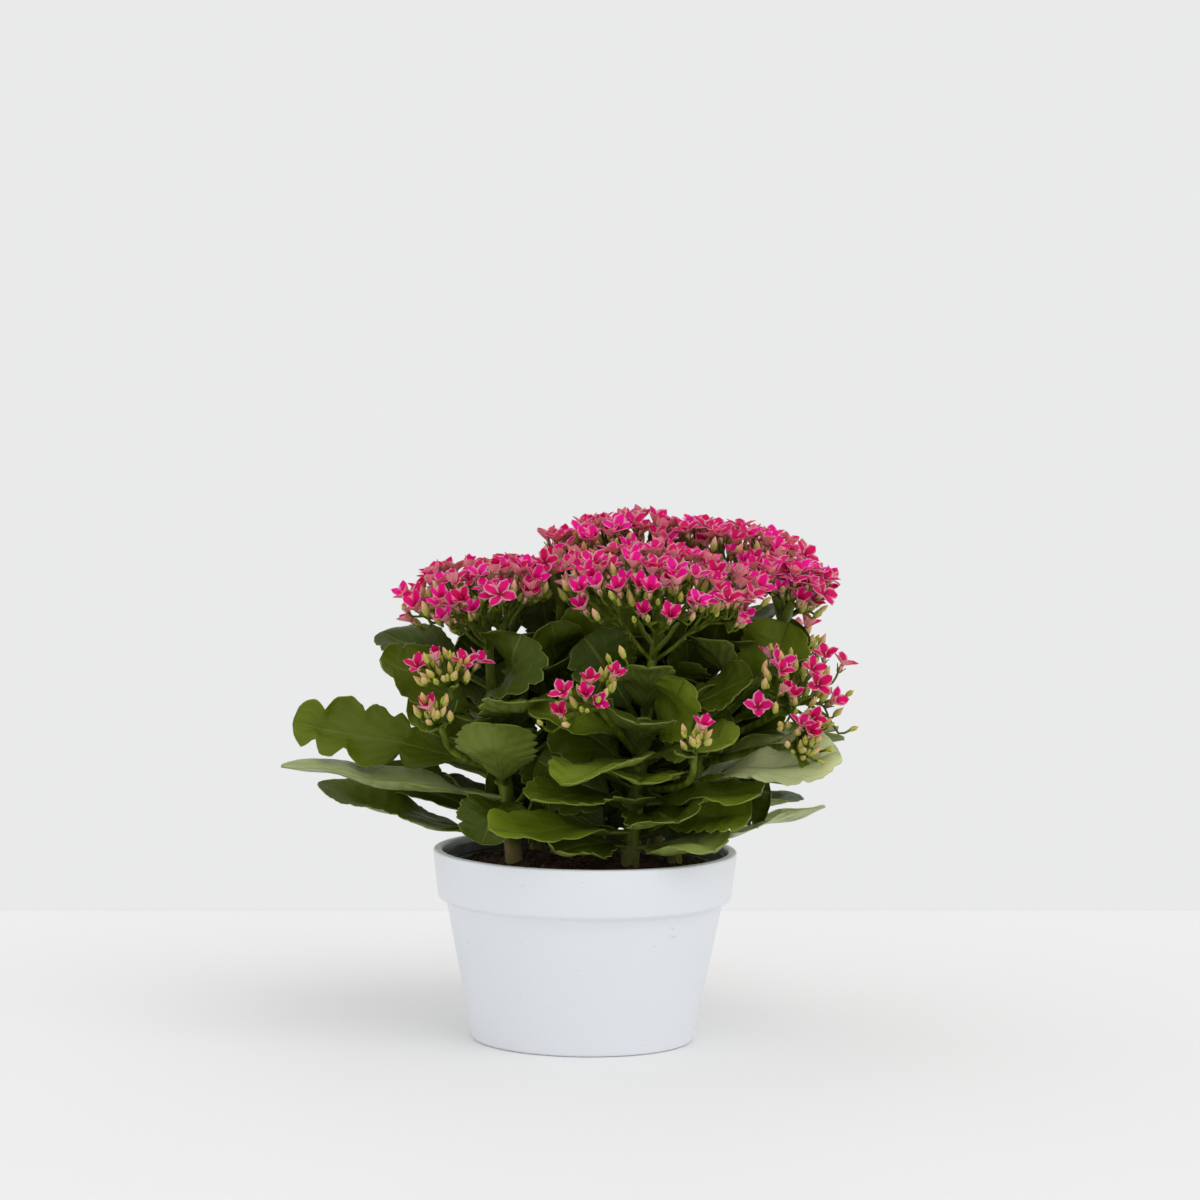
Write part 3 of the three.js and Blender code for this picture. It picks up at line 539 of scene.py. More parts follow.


# pale in this table sets how light each leaf is painted: low for leaves deep inside, as painted
# shade, and high for outer leaves, as painted light.
shoots = {
    "shoot_left": dict(
        foot=(-35, -9), path=[(-38, -12, 118), (-46, -10, 165)],
        head="head_left", thick=4.4, young=0.0,
        leaves=[
            leaf(
                134, (-144, -12, 156), 38, (0, -0.85, 0.5), (0, 0, 2),
                petiole=24, lobes=5, cut=0.6, pale=0.5,
            ),
            leaf(
                120, (-148, -34, 137), 44, (0, -0.08, 1), (0, 0, 1),
                petiole=22, lobes=13, cut=0.1, blunt=0.75, pale=0.95,
            ),
            leaf(
                101, (-132, -4, 125), 38, (0, -0.22, 0.95), (0, 0, -8),
                petiole=26, lobes=11, cut=0.13, blunt=0.6, pale=0.45,
            ),
            leaf(109, (-107, 32, 130), 34, (0, -0.4, 0.9), (0, 0, -4), petiole=22),
            leaf(126, (-92, 24, 148), 32, (0, -0.3, 1), (0, 0, 2), pale=0.8),
            leaf(
                127, (-45, -62, 162), 42, (0.1, 0.55, 0.85), (0, -8, -8),
                lobes=9, cut=0.13, pale=0.4,
            ),
            leaf(114, (-50, -54, 103), 36, (-0.15, -0.85, 0.5), (4, -8, 20), pale=0.12),
            leaf(174, (-103, 26, 197), 34, (0, -0.4, 0.9), (0, 0, 2)),
            leaf(158, (-101, -26, 189), 42, (0.1, -0.55, 0.8), (0, 0, 0)),
            leaf(144, (-88, -22, 164), 32, (0.3, -0.7, 0.6), (0, 0, 8)),
            leaf(166, (-32, -45, 204), 46, (0, -0.6, 0.8), (0, -16, -8), pale=0.05),
            leaf(149, (-28, -68, 174), 38, (-0.1, 0, 1), (-4, -2, 2)),
        ],
    ),
    "shoot_middle": dict(
        foot=(-14, 14), path=[(-14, 12, 130), (-14, 8, 175)],
        head="head_middle", thick=3.4,
        leaves=[
            leaf(152, (9, -6, 222), 44, (0.1, -1, 0.15), (8, -6, -4), cup=0.1),
            leaf(172, (-25, 26, 220), 32, (0.3, -0.9, 0.3), (0, 4, 4)),
            leaf(174, (-18, -24, 208), 32, (0.1, -0.8, 0.6), (0, -4, -4)),
            leaf(116, (-18, -24, 150), 40, (0.2, -0.9, 0.4), (0, -2, -4)),
            leaf(100, (-26, -22, 120), 38, (0.2, -0.9, 0.3), (0, -2, -2)),
            leaf(146, (-52, 22, 176), 38, (-0.3, -0.5, 0.8), (0, 0, 4)),
            leaf(104, (-46, -8, 136), 34, (0, -0.9, 0.4), (0, -2, -2), pale=0.1),
        ],
    ),
    "shoot_front": dict(
        foot=(22, -22), path=[(24, -24, 120), (29, -26, 165)],
        head="head_front", thick=4.6,
        leaves=[
            leaf(
                106, (-46, -79, 114), 36, (0, -0.3, 0.95), (0, -10, 0),
                turn=-38, lobes=4, cut=0.2, pale=0.68,
            ),
            leaf(99, (-14, -66, 102), 36, (0, -0.5, 0.8), (0, 0, 4)),
            leaf(140, (-12, -88, 137), 50, (-0.35, -0.3, 0.9), (16, -10, 10), lobes=9, pale=0.8),
            leaf(122, (-26, -84, 129), 40, (0, -0.3, 0.95), (6, -8, 3)),
            leaf(98, (62, -66, 103), 44, (0, -0.3, 0.95), (0, 0, 2), pale=0.86),
            leaf(142, (70, -66, 155), 36, (0, -0.5, 0.85), (0, 0, 2), lobes=9, cut=0.1, pale=0.8),
            leaf(158, (80, -46, 184), 34, (-0.1, -0.5, 0.85), (0, 0, 0), pale=0.12),
            leaf(152, (46, -56, 185), 42, (-0.3, -0.8, 0.5), (4, -10, -8)),
            leaf(150, (24, -86, 166), 38, (0.1, -0.3, 0.95), (0, 0, 6)),
            leaf(112, (44, -78, 118), 42, (0, -0.5, 0.8), (0, 0, 5)),
            leaf(120, (84, -58, 130), 40, (0, -0.3, 0.95), (0, 0, 0)),
            leaf(113, (80, -44, 117), 38, (0, -0.6, 0.8), (0, -2, 2)),
            leaf(102, (64, -30, 120), 42, (0, -0.95, 0.3), (0, -2, -2)),
            leaf(103, (-18, -34, 122), 36, (0, -0.95, 0.3), (0, -2, -6)),
            leaf(132, (26, -74, 136), 44, (0.1, -0.6, 0.8), (0, -4, 6)),
            leaf(116, (-24, -40, 142), 42, (0.1, -0.9, 0.4), (0, -4, 0)),
            leaf(134, (-16, -42, 170), 42, (0.1, -0.9, 0.4), (0, -4, 0)),
            leaf(138, (68, -24, 168), 36, (0, -0.9, 0.4), (0, 0, 0), pale=0.1),
            leaf(154, (-2, -34, 202), 38, (0.1, -0.9, 0.4), (0, -4, 4)),
            leaf(150, (-28, -62, 168), 30, (0, -0.5, 0.9), (0, -8, 4), pale=0.45),
        ],
    ),
    "shoot_right": dict(
        foot=(44, 0), path=[(50, 0, 122), (66, 2, 160), (84, 3, 188)],
        head="head_right", thick=4,
        leaves=[
            leaf(
                129, (122, -46, 149), 48, (0, -0.42, 0.9), (-10, -34, 0),
                lobes=8, cut=0.12, pale=1.15,
            ),
            leaf(141, (127, 4, 150), 32, (0, 0.05, 1), (0, 0, 2), pale=0.2),
            leaf(112, (91, -6, 124), 40, (-0.2, -0.75, 0.6), (0, 0, 2)),
            leaf(99, (117, -16, 119), 30, (-0.1, 0.06, 1), (0, 0, -6), lobes=10, pale=1.2),
            leaf(120, (97, 26, 127), 34, (0, -0.1, 1), (0, 0, 2)),
            leaf(160, (98, -4, 208), 42, (-0.35, -0.85, 0.45), (6, -6, -6), pale=0.6),
            leaf(152, (108, -2, 178), 36, (0, -0.5, 0.9), (0, 0, 2)),
        ],
    ),
    "shoot_back_right": dict(
        foot=(34, 28), path=[(44, 32, 130), (60, 35, 180)],
        head="head_back_right", thick=4,
        leaves=[
            leaf(100, (108, 56, 114), 40, (0, 0, 1), (0, 0, 6)),
            leaf(112, (84, 98, 128), 42, (0, 0, 1), (0, 0, 8)),
            leaf(126, (126, 48, 150), 40, (0.1, 0.2, 1), (0, 0, 8)),
            leaf(140, (98, 88, 162), 40, (0.2, 0.4, 0.9), (0, 0, 8)),
            leaf(162, (108, 32, 202), 34, (-0.2, -0.7, 0.7), (4, 0, -4)),
            leaf(168, (86, 72, 198), 34, (0.3, 0.6, 0.7), (0, 0, 8)),
            leaf(150, (40, 6, 186), 38, (-0.1, -0.9, 0.4), (0, -4, 0)),
            leaf(172, (66, 6, 214), 36, (0, -0.85, 0.5), (0, 0, -2), pale=0.15),
            leaf(132, (96, 16, 168), 40, (0, -0.8, 0.6), (0, -2, -2), pale=0.2),
            leaf(158, (48, 2, 198), 34, (0.1, -0.85, 0.5), (0, 0, -2), pale=0.1),
        ],
    ),
    "shoot_back": dict(
        foot=(6, 46), path=[(10, 52, 130), (20, 68, 170)],
        head="head_back", thick=4,
        leaves=[
            leaf(100, (-10, 118, 112), 42, (0, 0, 1), (0, 0, 8)),
            leaf(108, (44, 112, 118), 40, (0, 0, 1), (0, 0, 8)),
            leaf(122, (14, 128, 142), 44, (0, 0.3, 1), (0, 0, 8)),
            leaf(136, (62, 110, 154), 38, (0.2, 0.3, 1), (0, 0, 8)),
            leaf(146, (-18, 114, 168), 40, (-0.1, 0.5, 0.9), (0, 0, 8)),
            leaf(162, (58, 122, 184), 34, (0.1, 0.6, 0.8), (0, 0, 8)),
            leaf(96, (34, 34, 112), 30, (0, -0.9, 0.3), (0, 0, -2), pale=0.05),
        ],
    ),
    "shoot_back_left": dict(
        foot=(-24, 34), path=[(-28, 38, 130), (-36, 44, 170)],
        head="head_back_left", thick=4,
        leaves=[
            leaf(100, (-96, 62, 114), 40, (0, 0, 1), (0, 0, 6)),
            leaf(112, (-50, 108, 124), 42, (0, 0, 1), (0, 0, 8)),
            leaf(124, (-118, 50, 144), 42, (-0.1, 0.2, 1), (0, 0, 8)),
            leaf(138, (-74, 92, 156), 42, (-0.2, 0.4, 0.9), (0, 0, 8)),
            leaf(152, (-102, 60, 176), 38, (-0.3, 0.3, 0.9), (0, 0, 8)),
            leaf(166, (-62, 88, 194), 34, (-0.2, 0.6, 0.8), (0, 0, 8)),
            leaf(158, (-64, 20, 196), 34, (-0.2, -0.7, 0.7), (0, 0, -4)),
            leaf(150, (-14, 30, 190), 36, (0.1, -0.9, 0.4), (0, 0, -2), pale=0.05),
        ],
    ),
    "shoot_inner": dict(
        foot=(4, 16), path=[(6, 20, 140), (14, 28, 190)],
        head="head_inner", thick=3.6,
        leaves=[
            leaf(176, (-8, 54, 216), 34, (-0.3, 0.8, 0.5), (0, 0, -2)),
            leaf(180, (44, 4, 214), 32, (0.3, -0.8, 0.5), (0, 0, -2)),
            leaf(150, (14, -20, 186), 40, (0.1, -0.9, 0.4), (0, -4, 0)),
            leaf(128, (34, 2, 162), 40, (-0.1, -0.9, 0.4), (0, -4, 0)),
            leaf(108, (20, -6, 140), 40, (0.1, -0.9, 0.3), (0, -4, 0)),
            leaf(96, (27, -4, 126), 34, (0, -0.9, 0.3), (0, 0, 0), pale=0.1),
            leaf(118, (50, -4, 142), 36, (0, -0.9, 0.3), (0, 0, 0), pale=0.05),
            leaf(160, (40, 14, 196), 36, (0, -0.9, 0.4), (0, 0, 0), pale=0.05),
            leaf(146, (-22, 12, 178), 32, (0, -0.9, 0.4), (0, 0, 0), pale=0.05),
        ],
    ),
}
heads = {
    "head_left": head("shoot_left", (-50, -8, 206), (32, 28), 22, (-0.22, -0.1, 1), 17, 6),
    "head_middle": head("shoot_middle", (-14, 0, 229), (10, 9), 7, (0, -0.1, 1), 4, 3),
    "head_front": head("shoot_front", (33, -26, 208), (45, 33), 27, (0.08, -0.12, 1), 28, 7),
    "head_inner": head("shoot_inner", (14, 34, 233), (30, 25), 14, (-0.1, 0, 1), 14, 4),
    "head_back_right": head("shoot_back_right", (71, 38, 228), (31, 27), 16, (0.15, 0.1, 1), 14, 4),
    "head_right": head("shoot_right", (98, 3, 217), (16, 17), 12, (0.25, -0.1, 1), 13, 4),
    "head_back": head("shoot_back", (29, 84, 206), (32, 22), 15, (0, 0.3, 1), 12, 4),
    "head_back_left": head(
        "shoot_back_left", (-43, 48, 204), (27, 22), 15, (-0.25, 0.25, 1), 10, 4
    ),
    "spray_left_high": head(
        "shoot_left", (-67, -50, 184), (13, 9), 6, (-0.2, -0.7, 0.8), 3, 8, fork=150
    ),
    "spray_left_low": head(
        "shoot_left", (-72, -52, 164), (7, 6), 4, (-0.3, -0.7, 0.8), 1, 5, fork=132
    ),
    "spray_front": head(
        "shoot_front", (2, -77, 178), (22, 7), 5, (-0.4, -0.75, 0.6), 6, 8,
        fork=142, along=(0.72, 0, 0.7),
    ),
    "spray_front_low": head(
        "shoot_front", (52, -79, 156), (6, 5), 4, (0.1, -0.7, 0.8), 1, 6, fork=126
    ),
    "spray_right": head(
        "shoot_right", (99, -34, 175), (23, 18), 8, (0.45, -0.75, 0.55), 12, 11,
        fork=146, along=(0.8, 0, 0.5),
    ),
    "spray_right_low": head(
        "shoot_right", (103, -50, 152), (7, 6), 4, (0.4, -0.7, 0.1), 2, 4, fork=137
    ),
    "spray_back": head("shoot_back", (-4, 108, 190), (11, 8), 5, (-0.2, 0.7, 0.8), 3, 4, fork=152),
    "spray_back_right": head(
        "shoot_back_right", (106, 62, 186), (11, 8), 5, (0.6, 0.5, 0.8), 3, 4, fork=154
    ),
    "spray_back_left": head(
        "shoot_back_left", (-90, 80, 178), (11, 8), 5, (-0.5, 0.6, 0.8), 3, 4, fork=146
    ),
}


def unit(vector):
    vector = np.array(vector, float)
    return vector / np.linalg.norm(vector)


def under_head(place):
    """Where a head's stalk ends, just under the head."""
    return np.array(place["seat"], float) - unit(place["lean"]) * (CORE_SINK + CORE_CLEAR)


def shoot_path(shoot):
    x, y = shoot["foot"]
    top = under_head(heads[shoot["head"]])
    return [np.array(p, float) for p in [(x, y, FOOT_Z), (x, y, COLLAR_Z), *shoot["path"], top]]


def point_at_height(shoot, z):
    path = shoot_path(shoot)
    for low, high in zip(path, path[1:]):
        if z <= high[2]:
            return low + (high - low) * (z - low[2]) / (high[2] - low[2])


def smooth_line(corners, count):
    """Evenly spaced points on a smooth line through the corners, as a bent stem would run."""
    corners = [2 * corners[0] - corners[1], *corners, 2 * corners[-1] - corners[-2]]
    line = []
    for a, b, c, d in zip(corners, corners[1:], corners[2:], corners[3:]):
        ab, bc, cd = (max(np.linalg.norm(q - p), 1e-6) ** 0.5 for p, q in ((a, b), (b, c), (c, d)))
        out = ((b - a) / ab - (c - a) / (ab + bc) + (c - b) / bc) * bc
        come = ((c - b) / bc - (d - b) / (bc + cd) + (d - c) / cd) * bc
        bend, twist = 3 * (c - b) - 2 * out - come, 2 * (b - c) + out + come
        for t in np.linspace(0, 1, LINE_STEPS, endpoint=False):
            line.append(b + out * t + bend * t**2 + twist * t**3)
    line = np.array([*line, corners[-2]])
    run = np.concatenate([[0], np.cumsum(np.linalg.norm(np.diff(line, axis=0), axis=1))])
    wanted = np.linspace(0, run[-1], count)
    return np.stack([np.interp(wanted, run, line[:, k]) for k in range(3)], axis=1)


def stalk_tree():
    """A round stalk along each line, as thick as the line's girth says."""
    tree, pen, given = node_tree("stalks along lines", {"Sides": "Int", "Material": "Material"})
    line = pen.node("GeometryNodeMeshToCurve", None, {"Mesh": given["Geometry"]})
    sides = {"Resolution": given["Sides"], "Radius": 1.0}
    ring = pen.node("GeometryNodeCurvePrimitiveCircle", None, sides)
    swept = {"Curve": line, "Profile Curve": ring, "Scale": pen.kept("girth"), "Fill Caps": True}
    tube = pen.node("GeometryNodeCurveToMesh", None, swept)
    soft = pen.node("GeometryNodeSetShadeSmooth", None, {"Geometry": tube})
    close_tree(pen, soft, given["Material"])
    return tree


def stalks_from(name, lines, sides, finish):
    """One piece of all these stalks. A line is its points, its radii and its ages, 0 to 1."""
    points, edges, girth, age = [], [], [], []
    for places, radii, ages in lines:
        first = len(points)
        points.extend(places)
        edges.extend((first + i, first + i + 1) for i in range(len(places) - 1))
        girth.extend(radii)
        age.extend(ages)
    mesh = bpy.data.meshes.new(name)
    mesh.from_pydata((np.array(points) * MM).tolist(), edges, [])
    mark_points(mesh, {"girth": np.array(girth) * MM, "age": age})
    return grow(placed(name, mesh), green_stalks, {"Sides": sides, "Material": finish})


def paint_stalk(pen):
    age = pen.mark("age")
    streak = pen.grain(260.0, 4.0, (1, 1, 0.15)).step(0.35, 0.7)
    green = streak.mix(STALK_GREEN, STALK_PALE)
    woody = (1 - age.step(0.03, 0.1)) * (0.65 + 0.35 * streak)
    relief = (pen.grain(500.0, 4.0), 0.25)
    return woody.mix(green, WOOD), 0.42 + 0.3 * woody, relief, {"Specular IOR Level": 0.15}


def main_stalk(shoot):
    """The line of a shoot's stalk, with its radii swollen at each leaf and its ages."""
    path = shoot_path(shoot)
    rise = smooth_line([path[1] + np.array([0, 0, -4.0]), *path[2:]], STALK_POINTS)
    line = np.concatenate([[path[0]], rise])
    share = np.concatenate([[0], np.linspace(0, 1, len(rise))])
    foot_radius = STALK_FULLNESS * shoot["thick"]
    radii = foot_radius + (PEDUNCLE_RADIUS - foot_radius) * share
    for grown in shoot["leaves"]:
        near = np.exp(-(((line[:, 2] - grown["at"]) / KNOT_HALF_LENGTH) ** 2))
        radii = radii * (1 + KNOT * near / (1 + 2 * near))
    return line, radii, np.maximum(share, shoot.get("young", 0.07))


def side_stalk(place, shoot):
    start, end = point_at_height(shoot, place["fork"]), under_head(place)
    bend = end - unit(place["lean"]) * SIDE_STALK_BEND * np.linalg.norm(end - start)
    line = smooth_line([start, bend, end], SIDE_STALK_POINTS)
    radii = np.linspace(PEDUNCLE_RADIUS, PEDUNCLE_TIP_RADIUS, SIDE_STALK_POINTS)
    return line, radii, np.linspace(0.5, 1, SIDE_STALK_POINTS)


green_stalks = stalk_tree()
stalk_green = finish_of("green stalk", paint_stalk)
for name, shoot in shoots.items():
    lines = [main_stalk(shoot)]
    for place in heads.values():
        if place["fork"] and place["shoot"] == name:
            lines.append(side_stalk(place, shoot))
    stalks = stalks_from(f"{name}_stalks", lines, STALK_SIDES, stalk_green)
    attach(stalks, "root")
    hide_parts(name)

# The leaves: fleshy blades on short stalks, cut along the margin into rounded lobes, cupped and a
# little waved. A groove marks the midrib above and a ridge below, and the skin has a waxy sheen.
# The leaves' colour carries painted light and shade: darker near the stalk and on inner leaves,
# lighter outward and on outer leaves, with painted sheen on the palest and a painted highlight along
# the margin.
LEAF_THICK = 2.3
PETIOLE_HALF_WIDTH = 2.0
LEAF_WAVE = 0.13
LEAF_PUCKER = 0.18
LEAF_BLUNT = 0.42
LOBE_RANGE = (5, 9)
LOBE_DEPTH = 0.15
SCALLOP = 0.055
GROOVE_DEPTH, GROOVE_WIDTH = 0.45, 1.2
RIDGE_HEIGHT, RIDGE_WIDTH = 0.6, 1.5
RINGS = 52
PETIOLE_RINGS = 6
ARC_STEPS = 40
TIP_FROM, TIP_LENGTH, TIP_NARROWING = 0.985, 0.015, 0.55
TIP_SHARES = [0.988, 0.996, 1.0]
YOUNG_STEP = 12.0
YOUNG_CLEAR = 30
FINE_ROWS = np.array([-1, -0.965, -0.87, -0.7, -0.48, -0.27, -0.1, 0.0])
PLAIN_ROWS = np.array([-1, -0.9, -0.6, -0.28, 0.0])
# LEAF_SHADED and LEAF_LIT are shaded and lit copies of the leaf green; the mix between them is
# painted light and shade.
LEAF_SHADED = (0.021, 0.038, 0.0008, 1)
LEAF_LIT = (0.195, 0.262, 0.014, 1)
# LEAF_BLOOM_AND_SHEEN is a waxy bloom together with painted sheen; LEAF_PAINTED_SHEEN is a painted
# reflection of the pale surroundings, seen at grazing angles.
LEAF_BLOOM_AND_SHEEN = (0.38, 0.44, 0.20, 1)
LEAF_PAINTED_SHEEN = (0.68, 0.74, 0.38, 1)
LEAF_UNDER = (0.150, 0.190, 0.035, 1)
# LEAF_RIM_HIGHLIGHT is a painted highlight along the margin.
LEAF_RIM_HIGHLIGHT = (0.26, 0.31, 0.06, 1)


def chance(seed, n):
    """A repeatable number from 0 to 1 for the n-th draw of a seed."""
    x = math.sin(n * 12.9898 + seed * 78.233) * 43758.5453
    return x - math.floor(x)


def lobed(s, lobes, depth, luck):
    """The margin's reach at a share s of the blade: 1 on a lobe, less in the cuts between."""
    x = s * lobes + luck + 0.45 * math.sin(5 * s + 7 * luck)
    bulge = math.sin(math.pi * (x % 1.0) ** 1.2) ** 0.6
    cut = depth * (0.35 + 1.2 * chance(luck, math.floor(x)))
    fade = min(1.0, max(0.0, (s - 0.12) / 0.15)) * min(1.0, (1.03 - s) * 9)
    scallop = SCALLOP * abs(math.sin(math.pi * (2.6 * x + 0.3)))
    return 1 - (cut * (1 - bulge) + scallop) * fade


def blade_half_width(s, wide, blunt):
    """Half the blade's width. It rises as s to the 0.75 and ends rounder where blunt is less."""
    widest = 0.75 / (0.75 + blunt)
    shape = s**0.75 * (1.002 - s) ** blunt / (widest**0.75 * (1.002 - widest) ** blunt)
    return ((shape * wide / 2) ** 4 + PETIOLE_HALF_WIDTH**4) ** 0.25


def leaf_rings(start, grown, luck, rows, count):
    """The rings of one leaf from its stalk to its tip, with each ring's share of the blade."""
    tip = np.array(grown["tip"], float)
    middle = (start + tip) / 2 + np.array(grown["bow"], float)

    def point(t):
        return (1 - t) ** 2 * start + 2 * t * (1 - t) * middle + t * t * tip

    def heading(t):
        return unit(2 * (1 - t) * (middle - start) + 2 * t * (tip - middle))

    arc = [point(i / ARC_STEPS) for i in range(ARC_STEPS + 1)]
    length = sum(np.linalg.norm(b - a) for a, b in zip(arc, arc[1:]))
    stem = min(0.4, grown["petiole"] / length)
    shares = np.concatenate([np.linspace(0, 1, count)[:-1], TIP_SHARES])
    lobes = grown.get("lobes", LOBE_RANGE[0] + int(luck * (LOBE_RANGE[1] - LOBE_RANGE[0] + 1)))
    depth = grown.get("cut", LOBE_DEPTH)
    stations = [*np.linspace(0, stem, PETIOLE_RINGS)[:-1], *(stem + (1 - stem) * shares)]
    rings, alongs = [], []
    for t in stations:
        u = max(t, stem)
        s = (u - stem) / (1 - stem)
        along = heading(u)
        face = unit(grown["face"])
        out = unit(face - along * np.dot(face, along))
        roll = math.radians(grown["turn"]) * (u - 0.5)
        out = out * math.cos(roll) + np.cross(along, out) * math.sin(roll)
        side = np.cross(along, out)
        full = blade_half_width(s, grown["wide"], grown.get("blunt", LEAF_BLUNT))
        wave = np.sin(8 * s + grown["wide"] + 3 * luck + 1.6 * (rows < 0))
        lift = full * (grown["cup"] + LEAF_WAVE * wave) * min(1.0, s * 8)
        folds = [noise.noise(Vector((3.1 * s, 1.7 * x, 9 * luck))) for x in rows]
        pucker = LEAF_PUCKER * full * np.array(folds) * min(1.0, s * 5)
        left, right = (lobed(s, lobes, depth, draw) for draw in (luck, 1.7 * luck + 0.4))
        reach = full * np.where(rows < 0, left, right)
        half = LEAF_THICK / 2 * (1 - 0.4 * s)
        if s > TIP_FROM:
            reach = reach * (1 - TIP_NARROWING * (s - TIP_FROM) / TIP_LENGTH)
        rib = reach * rows
        swell = half * np.sqrt(1 - np.abs(rows) ** 3)
        crest = lift * np.abs(rows) ** 1.5 + pucker
        groove = GROOVE_DEPTH * np.exp(-((rib / GROOVE_WIDTH) ** 2))
        groove = groove * min(1.0, s * 6) * (1 - 0.7 * s)
        ridge = RIDGE_HEIGHT * np.exp(-((rib / RIDGE_WIDTH) ** 2)) * (1 - 0.85 * s)
        centre = point(t)
        above = centre + side * rib[:, None] + out * (crest + swell - groove)[:, None]
        below = centre + side * rib[:, None] + out * (crest - swell - ridge)[:, None]
        rings.append(np.concatenate([above, below[-2:0:-1]]))
        alongs.append((t - stem) / (1 - stem))
    return rings, alongs


def lofted(rings, first):
    """Faces that join rings of like count, the first of them numbered from first, with ends."""
    count, faces = len(rings[0]), []
    for i in range(len(rings) - 1):
        a = first + i * count
        for j in range(count):
            k = (j + 1) % count
            faces.append((a + j, a + k, a + count + k, a + count + j))
    last = first + (len(rings) - 1) * count
    faces.append(tuple(first + j for j in range(count))[::-1])
    faces.append(tuple(last + j for j in range(count)))
    return faces


def leaves_from(name, grown_leaves, finish, fine=True):
    """One piece of leaves; each is its start and its entry. Small ones needn't be fine."""
    points, faces = [], []
    marks = {"across": [], "along": [], "under": [], "tone": []}
    rows = FINE_ROWS if fine else PLAIN_ROWS
    rows = np.concatenate([rows, -rows[-2::-1]])
    lower = np.concatenate([np.zeros(len(rows)), np.ones(len(rows) - 2)])
    lower[0] = lower[len(rows) - 1] = 0.5
    sides = np.concatenate([rows, rows[-2:0:-1]])
    draws = random.Random(name)
    for start, grown in grown_leaves:
        luck = draws.random()
        # A given pale is partly the leaf's own tone and partly painted light or painted shade by
        # where it sits; other leaves get a random tone.
        tone = grown.get("pale", 0.6 * draws.random() ** 1.5)
        count = RINGS if fine else max(8, round(grown["wide"]))
        rings, alongs = leaf_rings(start, grown, luck, rows, count)
        faces.extend(lofted(rings, len(points)))
        for ring, share in zip(rings, alongs):
            points.extend(ring)
            marks["across"].extend(sides)
            marks["under"].extend(lower)
            marks["along"].extend([share] * len(ring))
            marks["tone"].extend([tone] * len(ring))
    return piece_from(name, points, faces, marks, finish)


def paint_leaf(pen):
    across, along = abs(pen.mark("across")), pen.mark("along")
    under, tone = pen.mark("under"), pen.mark("tone")
    wander = 0.22 * pen.grain(45.0, 2.0)
    row = pen.math("PINGPONG", (along - 0.62 * across + wander) * 4.5, 0.5)
    vein = (1 - row.step(0.0, 0.075)) * (1 - across.step(0.75, 0.97))
    midrib = 1 - across.step(0.02, 0.075)
    vein = pen.math("MAXIMUM", 0.55 * vein, midrib)
    cloud = pen.grain(38.0, 4.0).step(0.3, 0.7)
    ray = 1 - row.step(0.1, 0.5)
    # Painted light and shade: the green is painted darker near the stalk and lighter outward, lighter
    # along the folds beside the veins and in random patches, and more so on leaves of higher tone.
    outward = along.step(0.0, 0.8)
    lit = 0.35 * cloud + 0.5 * outward + 0.15 * ray
    painted_light_share = 0.45 * tone + (0.10 + 0.75 * tone) * lit
    painted_light_share = pen.math("MINIMUM", pen.math("MAXIMUM", painted_light_share, 0.0), 1.0)
    above = painted_light_share.mix(LEAF_SHADED, LEAF_LIT)
    # The palest leaves take a waxy bloom with painted sheen in patches, and the very palest a painted
    # reflection.
    patch = pen.grain(24.0, 5.0, (1, 1, 2)).step(0.35, 0.65)
    spread = pen.math("MINIMUM", 0.5 + 0.5 * patch + tone.step(1.0, 1.2), 1.0)
    bloom_and_sheen = spread * tone.step(0.76, 1.0)
    bloom_and_sheen_colour = tone.step(1.0, 1.2).mix(LEAF_BLOOM_AND_SHEEN, LEAF_PAINTED_SHEEN)
    above = (0.88 * bloom_and_sheen).mix(above, bloom_and_sheen_colour)
    above = (0.4 * vein).mix(above, LEAF_UNDER)
    # A painted highlight along the margin, where the blade turns to the light.
    rim = across.step(0.96, 0.99)
    # The underside takes on part of the upper side's colour, painted light included, along the veins,
    # the folds and in patches.
    below = (0.35 * vein + 0.3 * ray + 0.3 * (1 - cloud)).mix(LEAF_UNDER, above)
    blade = under.step(0.3, 0.7).mix(above, below)
    colour = (0.8 * rim).mix(blade, LEAF_RIM_HIGHLIGHT)
    speck = pen.grain(420.0, 3.0)
    relief = 0.5 * speck - 0.8 * vein
    fixed = {
        "Subsurface Weight": 0.05,
        "Subsurface Scale": 0.002,
        "Specular IOR Level": 0.14,
        "Coat Weight": 0.35 * bloom_and_sheen,
        "Coat Roughness": 0.32,
    }
    return colour, 0.30 + 0.16 * cloud + 0.06 * speck, (relief, 0.3), fixed


def young_leaves(shoot, seed):
    """Pairs of smaller leaves up a stem, each pair a quarter turn from the last."""
    made = []
    top = under_head(heads[shoot["head"]])[2] - YOUNG_CLEAR
    for pair, z in enumerate(np.arange(COLLAR_Z + 8, top, YOUNG_STEP)):
        start = point_at_height(shoot, z)
        for side in (0, 1):
            draw = 2 * pair + side
            turn = seed + math.pi * (0.5 * pair + side) + 0.5 * chance(seed, draw)
            out = np.array([math.cos(turn), math.sin(turn), 0])
            length = 26 + 20 * chance(seed + 1, draw)
            rise = length * (0.25 + 0.55 * chance(seed + 2, draw))
            tip = start + out * length + np.array([0, 0, rise])
            face = tuple(np.array([0, 0, 1.0]) - 0.35 * out)
            wide = length * (0.58 + 0.24 * chance(seed + 3, draw))
            shade = 0.22 * chance(seed + 4, draw)
            made.append((start, leaf(z, tip, wide, face, (0, 0, 3), petiole=7.0, pale=shade)))
    return made


